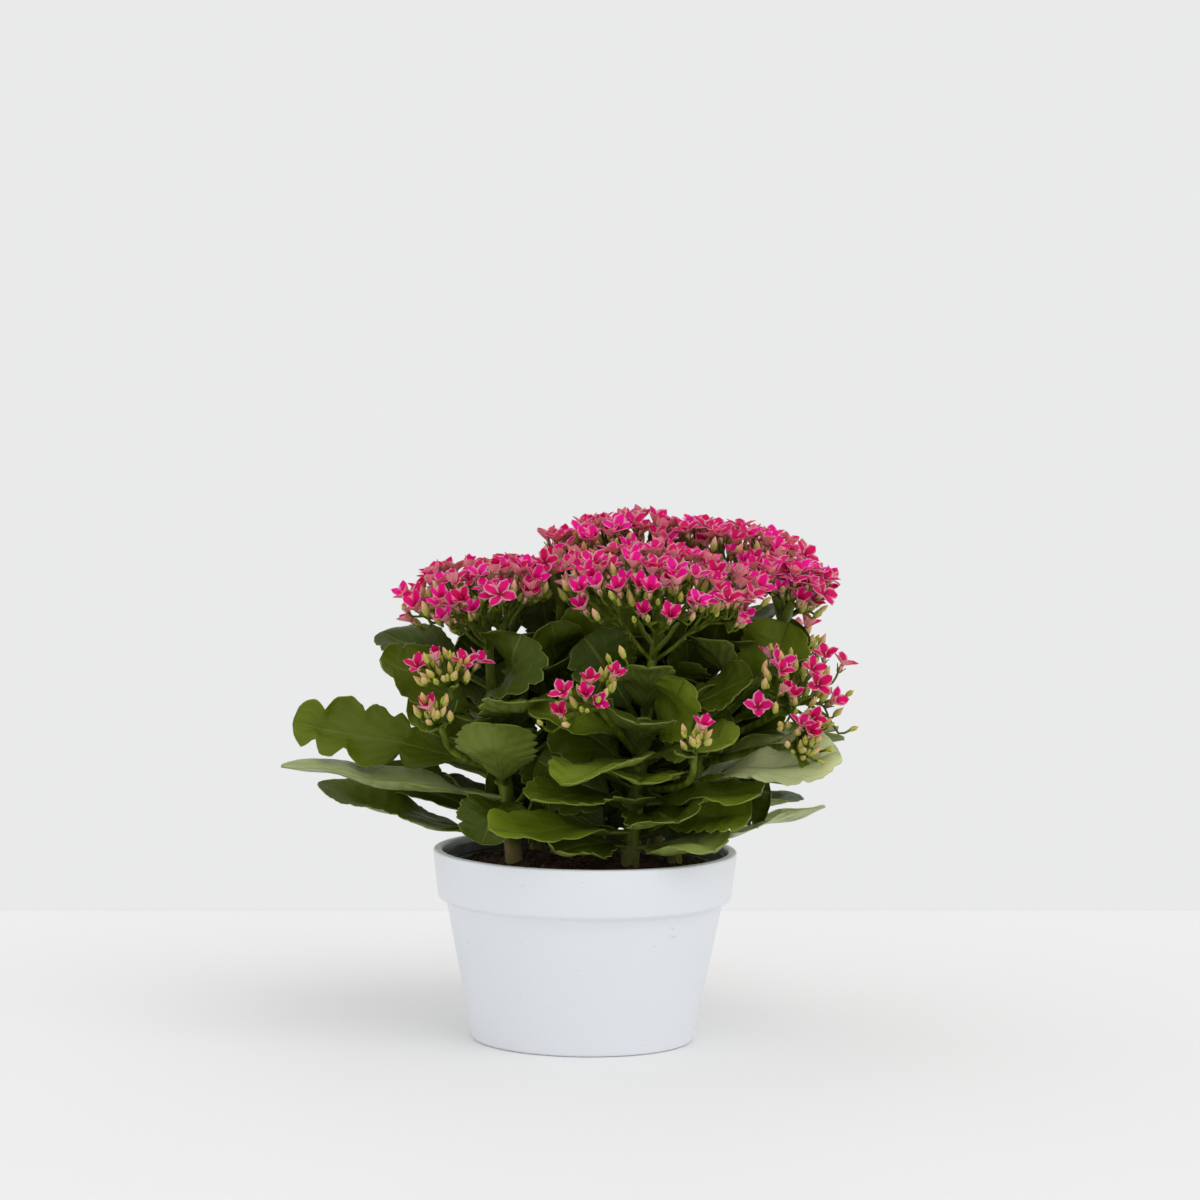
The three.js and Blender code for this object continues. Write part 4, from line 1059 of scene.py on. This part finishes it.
leaf_green = finish_of("fleshy leaf", paint_leaf)
for seed, (name, shoot) in enumerate(shoots.items(), 1):
    grown_leaves = [(point_at_height(shoot, grown["at"]), grown) for grown in shoot["leaves"]]
    leaves = leaves_from(f"{name}_leaves", grown_leaves, leaf_green)
    young = leaves_from(f"{name}_young_leaves", young_leaves(shoot, seed), leaf_green, False)
    for piece in (leaves, young):
        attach(piece, "root")
        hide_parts(name)

# The flower stalks: at the end of each green stalk a head forks into thin rays, and each ray into
# the short stalks of single florets and buds. Narrow green bracts stand at the forks.
GOLDEN_ANGLE = math.pi * (3 - math.sqrt(5))
LARGE_SPREAD, LARGE_COUNT = 24, 12
TOWARDS_LIGHT = np.array([0.0, -0.2, 0.18])
RAY_RADII = (1.2, 0.95, 0.75)
RAY_REACHES = (0.45, 0.5, 0.55)
RAY_SAG = -0.08
PEDICEL_RADIUS = 0.6
FLOWER_LINE_POINTS = 6
FLOWER_STALK_SIDES = 5
FORK_DEPTH = 0.32
INNER_SHARE = 0.55
OPEN, WIDE, HALF_OPEN, YOUNG, BUD, SMALL_BUD = range(6)
TUBE_LENGTH = 5.9
BUD_LENGTHS = {BUD: 7.6, SMALL_BUD: 5.0}
# The large heads and the small sprays: how much fuller, how many flowers, how domed, how high the
# flowers stand, how many open wide, well or half, and the same for the buds that stand among them.
LARGE = dict(
    fuller=(1.14, 1.14), more=3.1, domed=0.75, above=(2.5, 6), bud_above=0.5, size=0.92,
    opened=(0.14, 0.52, 0.9), among=0.95, among_share=(0.45, 0.52), among_drop=(1, 5.5),
)
SMALL = dict(
    fuller=(1.25, 1.1), more=1.15, domed=0.92, above=(1, 10), bud_above=2.0, size=0.86,
    opened=(0.0, 0.4, 0.88), among=1.2, among_share=(0.15, 0.75), among_drop=(-6, 7),
)


def head_frame(place):
    """The head's long way, the way across and the way up its dome."""
    out = unit(place["lean"])
    along = np.array(place["along"], float)
    along = unit(along - out * np.dot(out, along))
    return along, np.cross(out, along), out


def kind_of(draw, shares):
    """How far open a floret is. A draw under a share opens it wide, well or half."""
    for kind, share in zip((WIDE, OPEN, HALF_OPEN), shares):
        if draw < share:
            return kind
    return YOUNG


def flowers_of(place, seed):
    """Where each flower of a head is, the way it looks, its kind, size and spin."""
    a, b = place["spread"]
    large = a > LARGE_SPREAD or place["florets"] > LARGE_COUNT
    looks = LARGE if large else SMALL
    a, b = looks["fuller"][0] * a, looks["fuller"][1] * b
    along, across, out = head_frame(place)
    seat = np.array(place["seat"], float)
    total = round((place["florets"] + place["buds"]) * looks["more"])
    buds = place["buds"] / (place["florets"] + place["buds"])
    buds = buds if large else 0.15 + 0.85 * buds
    made = []
    for k in range(total):
        share = 0.98 * math.sqrt((k + 0.5) / total)
        turn = k * GOLDEN_ANGLE + seed + 0.3 * chance(seed, k)
        x, y = share * math.cos(turn), share * math.sin(turn)
        z = math.sqrt(1 - looks["domed"] * share * share)
        spot = seat + along * (x * a) + across * (y * b) + out * (z * place["rise"])
        axis = unit(along * (x / a) + across * (y / b) + out * (z / place["rise"]))
        stray = np.array([chance(seed + n, k) - 0.5 for n in (21, 22, 23)])
        axis = unit(unit(0.85 * axis + np.array([0, 0, 0.4])) + TOWARDS_LIGHT + 0.7 * stray)
        least, more = looks["above"]
        top = spot + axis * (least + more * chance(seed + 3, k))
        if large:
            in_bud = chance(seed + 5, k) < buds * (1.15 + 0.8 * share**2)
        else:
            in_bud = math.floor((k + 1) * buds) > math.floor(k * buds)
        if in_bud:
            kind = BUD if chance(seed + 6, k) < 0.75 else SMALL_BUD
            top = top + axis * looks["bud_above"]
        else:
            kind = kind_of(chance(seed + 7, k), looks["opened"])
        size = looks["size"] + 0.2 * chance(seed + 11, k)
        made.append((top, axis, kind, size, ANY_TURN * chance(seed + 9, k)))
    wide = 1.0 if large else (1.7 if a > 20 else 1.2)
    for k in range(round(total * looks["among"])):
        turn = k * GOLDEN_ANGLE + seed + 1.2
        least, more = looks["among_share"]
        share = least + more * chance(seed + 31, k)
        x, y = share * math.cos(turn), share * math.sin(turn)
        least, more = looks["among_drop"]
        drop = least + more * chance(seed + 32, k)
        z = math.sqrt(1 - 0.85 * share * share) * place["rise"] - drop
        spot = seat + along * (x * a) + across * ((y * wide - 0.3 * (wide - 1)) * b) + out * z
        axis = unit(0.9 * (along * x + across * y) + 0.4 * out + np.array([0, 0, 0.6]))
        kind = SMALL_BUD if chance(seed + 33, k) < 0.4 else BUD
        if large and chance(seed + 36, k) < 0.3:
            kind = HALF_OPEN
        size = 0.78 + 0.3 * chance(seed + 34, k)
        made.append((spot + axis * 3, axis, kind, size, ANY_TURN * chance(seed + 35, k)))
    return made


def flower_foot(flower):
    """Where a flower's own stalk joins it, below its calyx."""
    top, axis, kind, size, _ = flower
    return top - axis * BUD_LENGTHS.get(kind, TUBE_LENGTH) * size


def bunched(feet, count):
    """The feet's numbers in as many bunches of near neighbours."""
    places = np.array(feet)
    picks = [int(np.argmax(np.linalg.norm(places - places.mean(axis=0), axis=1)))]
    for _ in range(count - 1):
        gaps = np.min([np.linalg.norm(places - places[p], axis=1) for p in picks], axis=0)
        picks.append(int(np.argmax(gaps)))
    nearest = np.argmin([np.linalg.norm(places - places[p], axis=1) for p in picks], axis=0)
    return [[int(n) for n in np.flatnonzero(nearest == k)] for k in range(count)]


def branch(start, flowers, level):
    """Lines from a fork to its flowers: rays that fork again, and the flowers' own stalks."""
    lines, count = [], FLOWER_LINE_POINTS
    feet = [flower_foot(flower) for flower in flowers]
    if len(flowers) < 3 or level == len(RAY_RADII):
        for foot, flower in zip(feet, flowers):
            bend = foot - flower[1] * 0.4 * np.linalg.norm(foot - start)
            path = smooth_line([start, 0.5 * (start + bend), bend, foot + flower[1] * 0.6], count)
            lines.append((path, np.full(count, PEDICEL_RADIUS), np.full(count, 0.9)))
        return lines
    for bunch in bunched(feet, min(len(feet), 5 if level == 0 else 3)):
        middle = np.mean([feet[n] for n in bunch], axis=0)
        fork = start + (middle - start) * RAY_REACHES[level]
        bend = 0.5 * (start + fork) + (fork - start)[2] * np.array([0, 0, RAY_SAG])
        thick = RAY_RADII[level]
        radii = np.linspace(thick, 0.8 * thick, count)
        lines.append((smooth_line([start, bend, fork], count), radii, np.full(count, 0.8)))
        lines.extend(branch(fork, [flowers[n] for n in bunch], level + 1))
    return lines


def flower_stalks(place, flowers):
    """The rays of a head and the short stalks on them, from where its green stalk first forks."""
    shoot = shoots[place["shoot"]]
    stalk = (side_stalk(place, shoot) if place["fork"] else main_stalk(shoot))[0]
    reach = place["spread"][0]
    step = np.linalg.norm(stalk[-1] - stalk[-2])
    top, lower = stalk[-1], stalk[-1 - round(FORK_DEPTH * reach / step)]
    seat = np.array(place["seat"], float)
    inner, outer = [], []
    for flower in flowers:
        near = np.linalg.norm((flower[0] - seat)[:2]) < INNER_SHARE * reach
        (inner if near else outer).append(flower)
    return branch(top, inner, 1 if len(inner) < 8 else 0) + branch(lower, outer, 0)


def bracts(place, seed):
    """A few narrow green bracts round the forks of a head, as small plain leaves."""
    along, across, out = head_frame(place)
    start = under_head(place)
    made = []
    for n in range(2 if place["fork"] else 4):
        turn = seed * 1.7 + n * 2.4
        away = along * math.cos(turn) + across * math.sin(turn)
        length = 9 + 6 * chance(seed + 41, n)
        tip = start + away * length + out * (0.55 * length)
        grown = leaf(0, tip, 5.0, tuple(out - 0.3 * away), tuple(-1.5 * out), petiole=2.0)
        made.append((start - out * (1 + 3.0 * n), grown))
    return made


flowers_by_head = {
    name: flowers_of(place, seed) for seed, (name, place) in enumerate(heads.items(), 1)
}
for seed, (name, place) in enumerate(heads.items(), 1):
    lines = flower_stalks(place, flowers_by_head[name])
    stalks = stalks_from(f"{name}_stalks", lines, FLOWER_STALK_SIDES, stalk_green)
    small = leaves_from(f"{name}_bracts", bracts(place, seed), leaf_green, False)
    for piece in (stalks, small):
        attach(piece, "root")
        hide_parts(name)

# The florets and buds: a floret has four broad petals, magenta above with a pale rim and salmon
# beneath, on a narrow tube that stands in a green calyx of four. A bud is its petals still furled.
PETAL_LENGTH = 7.6
PETAL_HALF_WIDTH = 3.05
PETAL_THICK = 0.42
PETAL_ACROSS = np.array([-1.0, 0.0, 1.0])
PETAL_WIDTHS = {0: 0.36, 0.36: 0.94, 0.7: 0.84, 1.0: 0.02}
TUBE_OUTLINE = [(0.6, -5.4), (1.35, -4.3), (0.95, -0.25)]
TUBE_SIDES = 5
BUD_WIDTHS = {0: 0.5, 0.12: 0.78, 0.34: 1.0, 0.56: 0.9, 0.76: 0.58, 0.91: 0.26, 1.0: 0.04}
BUD_SIDES = 8
BUD_FLUTE = 0.12
CALYX_FOOT = -5.0
SHARP_EDGE = 75
MAGENTA = (0.93, 0.003, 0.32, 1)
# MAGENTA_RED_AND_SHADE is a darker red magenta, partly the florets' own redder tone and partly
# painted shade.
MAGENTA_RED_AND_SHADE = (0.64, 0.001, 0.12, 1)
# MAGENTA_DEEP_SHADE is a deeper magenta that stands partly for the throat's own colour and partly for
# painted shade in the cup and the tube's mouth.
MAGENTA_DEEP_SHADE = (0.280, 0.0, 0.035, 1)
PETAL_RIM = (0.96, 0.54, 0.64, 1)
SALMON = (0.96, 0.47, 0.42, 1)
SALMON_PINK = (0.97, 0.27, 0.43, 1)
BUD_GREEN = (0.42, 0.47, 0.06, 1)
BUD_TIP = (0.88, 0.47, 0.34, 1)
CALYX_GREEN = (0.13, 0.17, 0.02, 1)
CALYX_PALE = (0.33, 0.34, 0.09, 1)
SPRAY_RIPENESS_AND_SHADE = 0.5
PETAL_PART, TUBE_PART, BUD_PART = 0.0, 1.0, 2.0


def petal_rings(low, high, cupped, luck):
    """A petal that leans from the flower's axis by low degrees at its foot and high at its tip."""
    rings, r, z, before = [], 0.8, -0.2, 0.0
    for l, width in PETAL_WIDTHS.items():
        lean = math.radians(low + (high - low) * l)
        r += PETAL_LENGTH * (l - before) * math.sin(lean)
        z += PETAL_LENGTH * (l - before) * math.cos(lean)
        before = l
        spread = PETAL_HALF_WIDTH * width * PETAL_ACROSS
        up = np.array([-math.cos(lean), 0, math.sin(lean)])
        lift = cupped * math.sin(math.pi * l**0.8) * PETAL_ACROSS**2
        lift = lift + 0.35 * math.sin(math.pi * l) * math.sin(5 * luck) * PETAL_ACROSS**3
        lift = lift + 0.1 * spread
        swell = PETAL_THICK / 2 * np.sqrt(1 - PETAL_ACROSS**4)
        base = np.stack([np.full(3, r), spread, np.full(3, z)], axis=1)
        above, below = (base + up * (lift + half)[:, None] for half in (swell, -swell))
        rings.append(np.concatenate([above, below[-2:0:-1]]))
    return rings


class Shape:
    """Rings gathered into one mesh, each point with its place on the flower."""

    def __init__(self):
        self.points, self.faces = [], []
        self.marks = {"across": [], "along": [], "inner": [], "part": []}

    def add(self, rings, across, inner, part, alongs=None):
        self.faces.extend(lofted(rings, len(self.points)))
        for i, ring in enumerate(rings):
            self.points.extend(ring)
            self.marks["across"].extend(across)
            self.marks["inner"].extend(inner)
            share = alongs[i] if alongs else i / (len(rings) - 1)
            self.marks["along"].extend([share] * len(ring))
            self.marks["part"].extend([part] * len(ring))

    def round(self, profile, sides, part, inner=0.0, flute=0.0):
        """A turned form about the flower's axis, with four flutes where flute isn't 0."""
        rings, turns = [], [2 * math.pi * j / sides for j in range(sides)]
        for r, z in profile:
            reach = [r * (1 + flute * math.cos(4 * turn + 0.5 * z)) for turn in turns]
            ring = [(q * math.cos(turn), q * math.sin(turn), z) for q, turn in zip(reach, turns)]
            rings.append(np.array(ring))
        self.add(rings, [0.0] * sides, [inner] * sides, part)

    def piece(self, name):
        return piece_from(name, self.points, self.faces, self.marks)


def turned_about(rings, turn):
    """The rings turned about the flower's axis."""
    c, s = math.cos(turn), math.sin(turn)
    spin = np.array([[c, -s, 0], [s, c, 0], [0, 0, 1]])
    return [ring @ spin.T for ring in rings]


def floret_shape(n, low, high, cupped):
    """The coloured part of a floret. Its mouth is at the origin."""
    shape = Shape()
    across = np.concatenate([PETAL_ACROSS, PETAL_ACROSS[-2:0:-1]])
    inner = [0.5, 1, 0.5, 0]
    alongs = list(PETAL_WIDTHS)
    for quarter in range(4):
        tilt = (quarter * 7 + n * 5) % 4 * 4 - 6
        rings = petal_rings(low + tilt, high + tilt, cupped, quarter + n)
        turned_rings = turned_about(rings, math.pi / 2 * quarter)
        shape.add(turned_rings, across, inner, PETAL_PART, alongs)
    shape.round(TUBE_OUTLINE, TUBE_SIDES, TUBE_PART)
    return shape.piece(f"flower_{n}")


def bud_shape(n, length, girth):
    """A furled bud whose tip is at the origin."""
    shape = Shape()
    outline = [(girth * wide, length * (s - 1)) for s, wide in BUD_WIDTHS.items()]
    shape.round(outline, BUD_SIDES, BUD_PART, 1.0 if n == BUD else 0.0, BUD_FLUTE)
    return shape.piece(f"flower_{n}")


def calyx_shape(n, foot, spread, size):
    """Four pointed sepals round the foot of a floret or bud."""
    shape = Shape()
    shape.round([(0.3, foot - 0.7), (1.0 * size, foot), (1.35 * size, foot + 0.9)], 5, 0.0)
    for quarter in range(4):
        rings, r, z = [], 0.95 * size, foot + 0.1
        for i in range(3):
            l = i / 2
            lean = math.radians(spread[0] + (spread[1] - spread[0]) * l)
            if i:
                r, z = r + 2 * size * math.sin(lean), z + 2 * size * math.cos(lean)
            half = max(0.08, 0.85 * size * (1 - l**1.6))
            out = np.array([math.cos(lean), 0, -math.sin(lean)])
            row = np.array([(r, -half, z), (r, 0, z), (r, half, z)])
            row[1] += out * 0.22
            row[[0, 2]] -= out * 0.25 * size
            rings.append(row)
        turned_rings = turned_about(rings, math.pi / 2 * quarter + math.pi / 4)
        shape.add(turned_rings, [-1, 0, 1], [0, 0, 0], 0.0)
    return shape.piece(f"calyx_{n}")


def flower_tree():
    """A copy of one of the shapes at each point, by the point's kind, aim, spin and size."""
    kinds = {"Shapes": "Collection", "Material": "Material"}
    tree, pen, given = node_tree("flowers on their stalks", kinds)
    towards = {"Vector": pen.kept("aim", "FLOAT_VECTOR")}
    aim = pen.node("FunctionNodeAlignRotationToVector", {"axis": "Z"}, towards)
    about = {"Axis": (0, 0, 1), "Angle": pen.kept("spin")}
    spin = pen.node("FunctionNodeAxisAngleToRotation", None, about)
    both = {"Rotation": aim, "Rotate By": spin}
    facing = pen.node("FunctionNodeRotateRotation", {"rotation_space": "LOCAL"}, both)
    places = {"Rotation": facing, "Scale": pen.kept("size")}
    places["Instance Index"] = pen.kept("kind", "INT")
    set_out = copies_at(pen, given["Geometry"], given["Shapes"], places)
    close_tree(pen, set_out, given["Material"])
    return tree


def set_flowers(name, flowers, shelf, finish, seed, ripeness_and_shade=1.0):
    """One piece with a shape for each flower. Less ripe florets are redder and darker, partly painted
    shade, and buds greener.
    """
    mesh = bpy.data.meshes.new(name)
    tops, aims, kinds, sizes, spins = zip(*flowers)
    mesh.from_pydata([tuple(top * MM) for top in tops], [], [])
    tones = [ripeness_and_shade * chance(seed + 51, n) for n in range(len(flowers))]
    mark_points(mesh, {"kind": kinds}, "INT")
    mark_points(mesh, {"size": sizes, "spin": spins, "tone": tones})
    aim = mesh.attributes.new("aim", "FLOAT_VECTOR", "POINT")
    aim.data.foreach_set("vector", np.array(aims).ravel())
    piece = grow(placed(name, mesh), flowers_on_stalks, {"Shapes": shelf, "Material": finish})
    piece.data.shade_smooth()
    piece.data.set_sharp_from_angle(angle=math.radians(SHARP_EDGE))
    return piece


def paint_petal(pen):
    across, along = abs(pen.mark("across")), pen.mark("along")
    inner, part, tone = pen.mark("inner"), pen.mark("part"), pen.mark("tone")
    edge = pen.math("MAXIMUM", across.step(0.80, 0.95), along.step(0.90, 1.0))
    vein = pen.math("PINGPONG", across * 5.0 + 0.3 * along, 0.5) * 2.0
    # The throat is painted darker: a deeper magenta together with painted shade in the hollow of the
    # cup.
    throat = 1 - along.step(0.05, 0.42)
    # Florets of low tone are a darker red, partly a redder tone and partly painted shade.
    face = tone.step(0.1, 0.9).mix(MAGENTA_RED_AND_SHADE, MAGENTA)
    face = (0.75 * throat + 0.10 * (1 - vein)).mix(face, MAGENTA_DEEP_SHADE)
    face = (0.8 * edge).mix(face, PETAL_RIM)
    back = (0.35 + 0.5 * along - 0.3 * tone).mix(SALMON, SALMON_PINK)
    petal = inner.step(0.45, 0.75).mix(back, face)
    tube = (1 - along.step(0.1, 0.7)).mix(SALMON, BUD_GREEN)
    # The top of the tube, seen in the floret's mouth, is painted deep as painted shade.
    tube = along.step(0.8, 1.0).mix(tube, MAGENTA_DEEP_SHADE)
    turning = 0.05 + 0.35 * tone + inner * (0.3 + 0.75 * tone)
    ripe = pen.math("MINIMUM", along.step(0.1, 0.85) * turning, 1.0)
    bud = ripe.mix(BUD_GREEN, BUD_TIP)
    colour = part.step(0.4, 0.6).mix(petal, tube)
    colour = part.step(1.4, 1.6).mix(colour, bud)
    fixed = {"Subsurface Weight": 0.4, "Subsurface Scale": 0.0015, "Specular IOR Level": 0.12}
    return colour, 0.55 + 0.1 * vein, (vein + 0.4 * pen.grain(900.0), 0.06), fixed


def paint_calyx(pen):
    tip = pen.mark("along").step(0.3, 1.0)
    shade = pen.math("MINIMUM", 0.35 * tip + 0.5 * pen.mark("tone"), 1.0)
    colour, relief = shade.mix(CALYX_GREEN, CALYX_PALE), (pen.grain(700.0), 0.08)
    return colour, 0.45 + 0.05 * tip, relief, {"Specular IOR Level": 0.15}


petal_skin = finish_of("magenta petal", paint_petal)
calyx_skin = finish_of("green calyx", paint_calyx)
flowers_on_stalks = flower_tree()
flower_shelf = shelf_of("flower shapes", [
    floret_shape(OPEN, 56, 62, 0.9),
    floret_shape(WIDE, 66, 84, 0.5),
    floret_shape(HALF_OPEN, 40, 38, 1.2),
    floret_shape(YOUNG, 14, 18, 1.5),
    bud_shape(BUD, 7.8, 1.7),
    bud_shape(SMALL_BUD, 5.2, 1.35),
])
calyx_shelf = shelf_of("calyx shapes", [
    calyx_shape(OPEN, CALYX_FOOT, (12, 30), 1.0),
    calyx_shape(WIDE, CALYX_FOOT, (12, 40), 1.0),
    calyx_shape(HALF_OPEN, CALYX_FOOT, (8, 24), 1.0),
    calyx_shape(YOUNG, CALYX_FOOT, (8, 18), 1.0),
    calyx_shape(BUD, -BUD_LENGTHS[BUD], (14, 10), 1.0),
    calyx_shape(SMALL_BUD, -BUD_LENGTHS[SMALL_BUD], (12, 6), 0.85),
])
for seed, (name, flowers) in enumerate(flowers_by_head.items(), 1):
    # The sprays, low among the leaves, get a lower tone: greener buds, and florets painted darker
    # red, partly as painted shade.
    ripeness_and_shade = SPRAY_RIPENESS_AND_SHADE if heads[name]["fork"] else 1.0
    florets = set_flowers(f"{name}_florets", flowers, flower_shelf, petal_skin, seed, ripeness_and_shade)
    calyxes = set_flowers(f"{name}_calyxes", flowers, calyx_shelf, calyx_skin, seed)
    for piece, slot in ((florets, "flowers"), (calyxes, "foliage")):
        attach(piece, "root")
        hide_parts(name)
clear_shelf(flower_shelf)
clear_shelf(calyx_shelf)

# The studio: a plain pale floor that ends behind the plant as the table does, with a thin painted
# shadow line along its back edge, soft light from all round, and a broad soft light from above on the
# right that lays a faint shadow to the left.
FLOOR_REACH = 12.0
FLOOR_BACK = 0.418
FLOOR_SLANT = 0.0975
FLOOR_PAINT = (0.935, 0.932, 0.928, 1)
FLOOR_STAIN = (0.905, 0.902, 0.898, 1)
# FLOOR_EDGE_SHADOW is a painted shadow line along the floor's back edge.
FLOOR_EDGE_SHADOW = (0.80, 0.80, 0.80, 1)
FLOOR_SHADOW_BAND = (0.010, 0.008)
FLOOR_DROP = 0.0001
SKY = (0.82, 0.823, 0.826, 1)
SKY_STRENGTH = 1.0
KEY_STRENGTH = 0.58
KEY_SOFTNESS = 50.0
KEY_TURN = (30.0, 28.0, 0.0)
CAMERA_PLACE = (0.0055, -2.259, 0.4112)
CAMERA_PITCH = 4.906
CAMERA_ROLL = 0.85
SENSOR = 36.0
PHOTO_FOCUS = 4617.0
PHOTO_WIDTH = 1200.0


def paint_floor(pen):
    worn = pen.grain(3.0, 6.0)
    place = pen.node("ShaderNodeTexCoord", output="Object")
    x, y = (pen.node("ShaderNodeSeparateXYZ", None, {0: place}, axis) for axis in "XY")
    # A thin painted shadow line along the floor's back edge, where the table meets the wall.
    edge = (y - FLOOR_SLANT * x).step(*(FLOOR_BACK - inset for inset in FLOOR_SHADOW_BAND))
    colour = (0.5 * edge).mix(worn.mix(FLOOR_PAINT, FLOOR_STAIN), FLOOR_EDGE_SHADOW)
    return colour, 0.6 + 0.1 * worn, (worn, 0.05), {"Specular IOR Level": 0.2}


slant = FLOOR_SLANT * FLOOR_REACH
front, back_right, back_left = -FLOOR_REACH, FLOOR_BACK + slant, FLOOR_BACK - slant
floor_corners = ((-1, front), (1, front), (1, back_right), (-1, back_left))
floor_points = [(x * FLOOR_REACH, y, -FLOOR_DROP) for x, y in floor_corners]
floor_mesh = bpy.data.meshes.new("floor")
floor_mesh.from_pydata(floor_points, [], [(0, 1, 2, 3)])
floor_mesh.materials.append(finish_of("pale floor", paint_floor))
floor = placed("floor", floor_mesh)

world = bpy.data.worlds.new("studio")
world.use_nodes = True
sky = world.node_tree.nodes["Background"]
sky.inputs["Color"].default_value = SKY
sky.inputs["Strength"].default_value = SKY_STRENGTH
bpy.context.scene.world = world

key = bpy.data.lights.new("key", "SUN")
key.energy = KEY_STRENGTH
key.angle = math.radians(KEY_SOFTNESS)
placed("key", key).rotation_euler = [math.radians(angle) for angle in KEY_TURN]

lens = bpy.data.cameras.new("camera")
lens.sensor_width = SENSOR
lens.lens = PHOTO_FOCUS / PHOTO_WIDTH * SENSOR
lens.clip_end = 100.0
camera = placed("camera", lens)
camera.matrix_world = (
    Matrix.Translation(CAMERA_PLACE)
    @ Matrix.Rotation(math.radians(90 - CAMERA_PITCH), 4, "X")
    @ Matrix.Rotation(math.radians(CAMERA_ROLL), 4, "Z")
)
bpy.context.scene.camera = camera
bpy.context.scene.view_settings.view_transform = "Standard"
